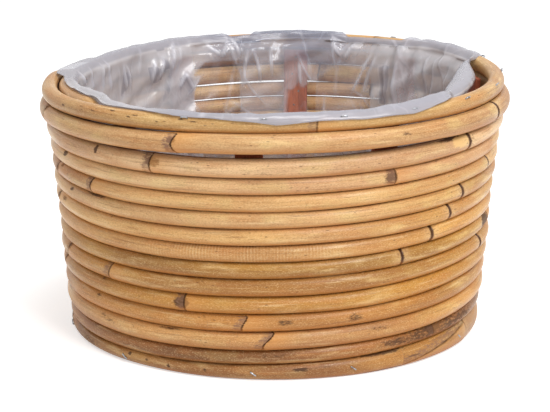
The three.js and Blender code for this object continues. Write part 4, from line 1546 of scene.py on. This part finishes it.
def shaded_crumple(chance, columns, height):
    """How much the film crumples under the rim, which sets its painted shade there."""
    counted = columns % 360
    start, end = FILM_SHADED_CRUMPLE
    share = ease(counted, start, start + 16) * (1 - ease(counted, end - 14, end))
    uneven = height + 2 * waves(chance, np.radians(columns), 1, 9, 20)
    return share * ease(uneven, 189, 197)


def film_mesh(radius, columns, height, path, fields):
    """The film's mesh, one face thick, closed by a fan at the middle of the floor. Each field
    is given with its value there."""
    turn = np.radians(columns)
    count, across = radius.shape
    points = around(radius.ravel(), turn.ravel(), height.ravel())
    centre = np.array([[0, 0, (FLOOR_TOP + FILM_MIDDLE_RISE) * MM]])
    grid = np.arange(count * across).reshape(count, across)
    following = np.roll(grid, -1, axis=0)
    corners = [grid[:, :-1], following[:, :-1], following[:, 1:], grid[:, 1:]]
    quads = np.stack(corners, axis=-1).reshape(-1, 4)
    fan = [(count * across, int(following[place, 0]), int(grid[place, 0]))
           for place in range(count)]
    mesh = bpy.data.meshes.new("film")
    faces = [tuple(face) for face in quads.tolist()] + fan
    mesh.from_pydata(np.concatenate([points, centre]).tolist(), [], faces)
    for name, (values, centre_value) in fields.items():
        write_field(mesh, name, np.append(np.clip(values, 0, 1).ravel(), centre_value))
    lay = np.stack(
        [turn.ravel() * FILM_RADIUS * MM, path.ravel() * MM, 0 * turn.ravel()], axis=-1)
    write_field(mesh, "lay", np.concatenate([lay, [[0, 0, 0]]]), "FLOAT_VECTOR")
    return mesh


def make_film():
    """The film liner: laid on the floor, gathered up the wall and turned down over the rim."""
    chance = np.random.default_rng(5)
    degrees, floor_rows, wall_rows, lip_rows = film_grid()
    radius, height = film_surface(degrees)
    floor_count, wall_count, lip_count = len(floor_rows), len(wall_rows), len(lip_rows)
    columns = degrees[:, None] + 0 * radius
    steps = np.hypot(np.diff(radius, axis=1), np.diff(height, axis=1))
    path = np.concatenate([0 * radius[:, :1], np.cumsum(steps, axis=1)], axis=1)
    path = path - path[:, floor_count:floor_count + 1] + FLOOR_TOP
    row = np.arange(radius.shape[1])[None, :]
    on_floor = row < floor_count
    on_lip = np.clip((row - floor_count - wall_count + 1) / lip_count, 0, 1)

    lift, edge = wall_lift(chance, columns, path, height, on_lip)
    lift = lift + lip_ripples(chance, columns, path, on_lip)
    turn = np.radians(columns)
    floor_lift = 0.3 + np.abs(waves(chance, turn * 2 + path / 40, 0.8, 3, 9))
    floor_lift = floor_lift * ease(radius, 0, 60)

    # Push along the surface's own direction: inward on the wall, outward round the rim.
    slope_r = np.gradient(radius, axis=1)
    slope_z = np.gradient(height, axis=1)
    size = np.maximum(np.hypot(slope_r, slope_z), 1e-6)
    total = np.where(on_floor, floor_lift, lift)
    radius = radius - slope_z / size * total
    height = height + slope_r / size * total

    milk = panel_milk(chance, columns, height)
    crumpled = shaded_crumple(chance, columns, height)
    counted = columns % 360
    milk = milk + 0.3 * edge
    hem = ease(height, 199, 206) * (1 - ease(on_lip, 0.0, 0.05))
    milk = milk + (0.62 - milk) * 0.6 * hem
    lip_milk = 0.88 - 0.09 * ease(counted, 274, 286) * (1 - ease(counted, 322, 340))
    milk = milk + (lip_milk - milk) * ease(on_lip, 0.02, 0.2)
    milk = np.where(on_floor, FLOOR_MILK, milk)

    fields = {"milk": (milk, FLOOR_MILK), "fold": (edge, 0.0), "crumpled": (crumpled, 0.0)}
    mesh = film_mesh(radius, columns, height, path, fields)
    mesh.materials.append(polythene_film())
    mesh.shade_smooth()
    sheet = new_object("film_sheet", mesh)
    wall = sheet.modifiers.new("film thickness", "SOLIDIFY")
    wall.thickness = FILM_THICKNESS * MM
    wall.offset = 0
    wall.use_rim = True
    piece = new_piece("film_folds", applied(sheet), "clear_film", "film_liner")


# The camera's place in metres, its tilt down in degrees and its sensor in millimetres, and in
# the photograph's pixels its width, the lens's focal length and the middle across.
CAMERA_PLACE = (0, -1.765, 0.5464)
CAMERA_TILT = 14.213
CAMERA_SENSOR = 36
PHOTO_WIDE = 550
PHOTO_FOCAL = 2110.3
PHOTO_MIDDLE = 274.43
# Strengths of the white world as a light and of the floor's own glow, the floor's grey, and
# half its width in metres.
WORLD_LIGHT = 0.535
FLOOR_GLOW = 0.52
FLOOR_GREY = 0.86
FLOOR_REACH = 6


def make_camera():
    """The photograph's view: from the front, 14 degrees down, with a long lens."""
    camera = new_object("camera", bpy.data.cameras.new("camera"))
    camera.location = CAMERA_PLACE
    camera.rotation_euler = (math.radians(90 - CAMERA_TILT), 0, 0)
    camera.data.sensor_width = CAMERA_SENSOR
    camera.data.lens = CAMERA_SENSOR * PHOTO_FOCAL / PHOTO_WIDE
    camera.data.shift_x = (PHOTO_WIDE / 2 - PHOTO_MIDDLE) / PHOTO_WIDE
    camera.data.clip_end = 50
    bpy.context.scene.camera = camera


def area_light(name, place, aim, size, power):
    """A soft lamp with its width and height in metres and power in watts, turned to its aim."""
    light = new_object(name, bpy.data.lights.new(name, "AREA"))
    light.data.shape = "RECTANGLE"
    light.data.size, light.data.size_y = size
    light.data.energy = power
    light.location = place
    direction = Vector(aim) - Vector(place)
    light.rotation_euler = direction.to_track_quat("-Z", "Y").to_euler()


def background_share(tree):
    """1 for the rays that show the background: the camera's, and those that reach it by a
    reflection or through something clear. 0 for the rays that light the basket."""
    path = add(tree, "ShaderNodeLightPath").outputs
    seen = math_node(tree, "MAXIMUM", path["Is Camera Ray"], path["Is Transmission Ray"])
    return math_node(tree, "MAXIMUM", seen, path["Is Glossy Ray"])


def make_studio():
    """A white floor and world, with a large soft light at the upper right, one above the
    basket and a weak one at the left."""
    area_light("key", (0.95, -1.35, 1.75), (0, 0, 0.12), (1.1, 0.9), 32)
    area_light("fill", (-1.5, -0.9, 0.9), (0, 0, 0.12), (1.2, 1.0), 1.5)
    area_light("top", (0.1, -0.2, 1.7), (0, 0, 0.15), (0.7, 0.5), 9.6)
    world = bpy.data.worlds.new("studio")
    bpy.context.scene.world = world
    world.use_nodes = True
    tree = world.node_tree
    tree.nodes.clear()
    strength = remap(tree, background_share(tree), 0, 1, WORLD_LIGHT, 1.0)
    inputs = {"Color": (1, 1, 1, 1), "Strength": strength}
    sky = add(tree, "ShaderNodeBackground", inputs)
    add(tree, "ShaderNodeOutputWorld", {"Surface": sky.outputs[0]})

    material, tree = new_material("white floor")
    paint = add(tree, "ShaderNodeBsdfDiffuse", {"Color": (*[FLOOR_GREY] * 3, 1)})
    shown = math_node(tree, "MULTIPLY", background_share(tree), FLOOR_GLOW)
    glow = add(tree, "ShaderNodeEmission", {"Strength": shown})
    both = add(tree, "ShaderNodeAddShader", {0: paint.outputs[0], 1: glow.outputs[0]})
    finish_material(tree, both.outputs[0])
    mesh = bpy.data.meshes.new("floor")
    signs = ((-1, -1), (1, -1), (1, 1), (-1, 1))
    corners = [(FLOOR_REACH * x, FLOOR_REACH * y, 0) for x, y in signs]
    mesh.from_pydata(corners, [], [(0, 1, 2, 3)])
    mesh.materials.append(material)
    new_object("floor", mesh)


make_camera()
make_studio()
bpy.context.scene.view_settings.view_transform = "Standard"
end_grain = rattan_end_grain()
sweep = cane_tree()
make_canes(sweep, end_grain)
make_floor_ring(sweep, end_grain)
make_woodwork()
make_staples()
make_brads()
make_film()
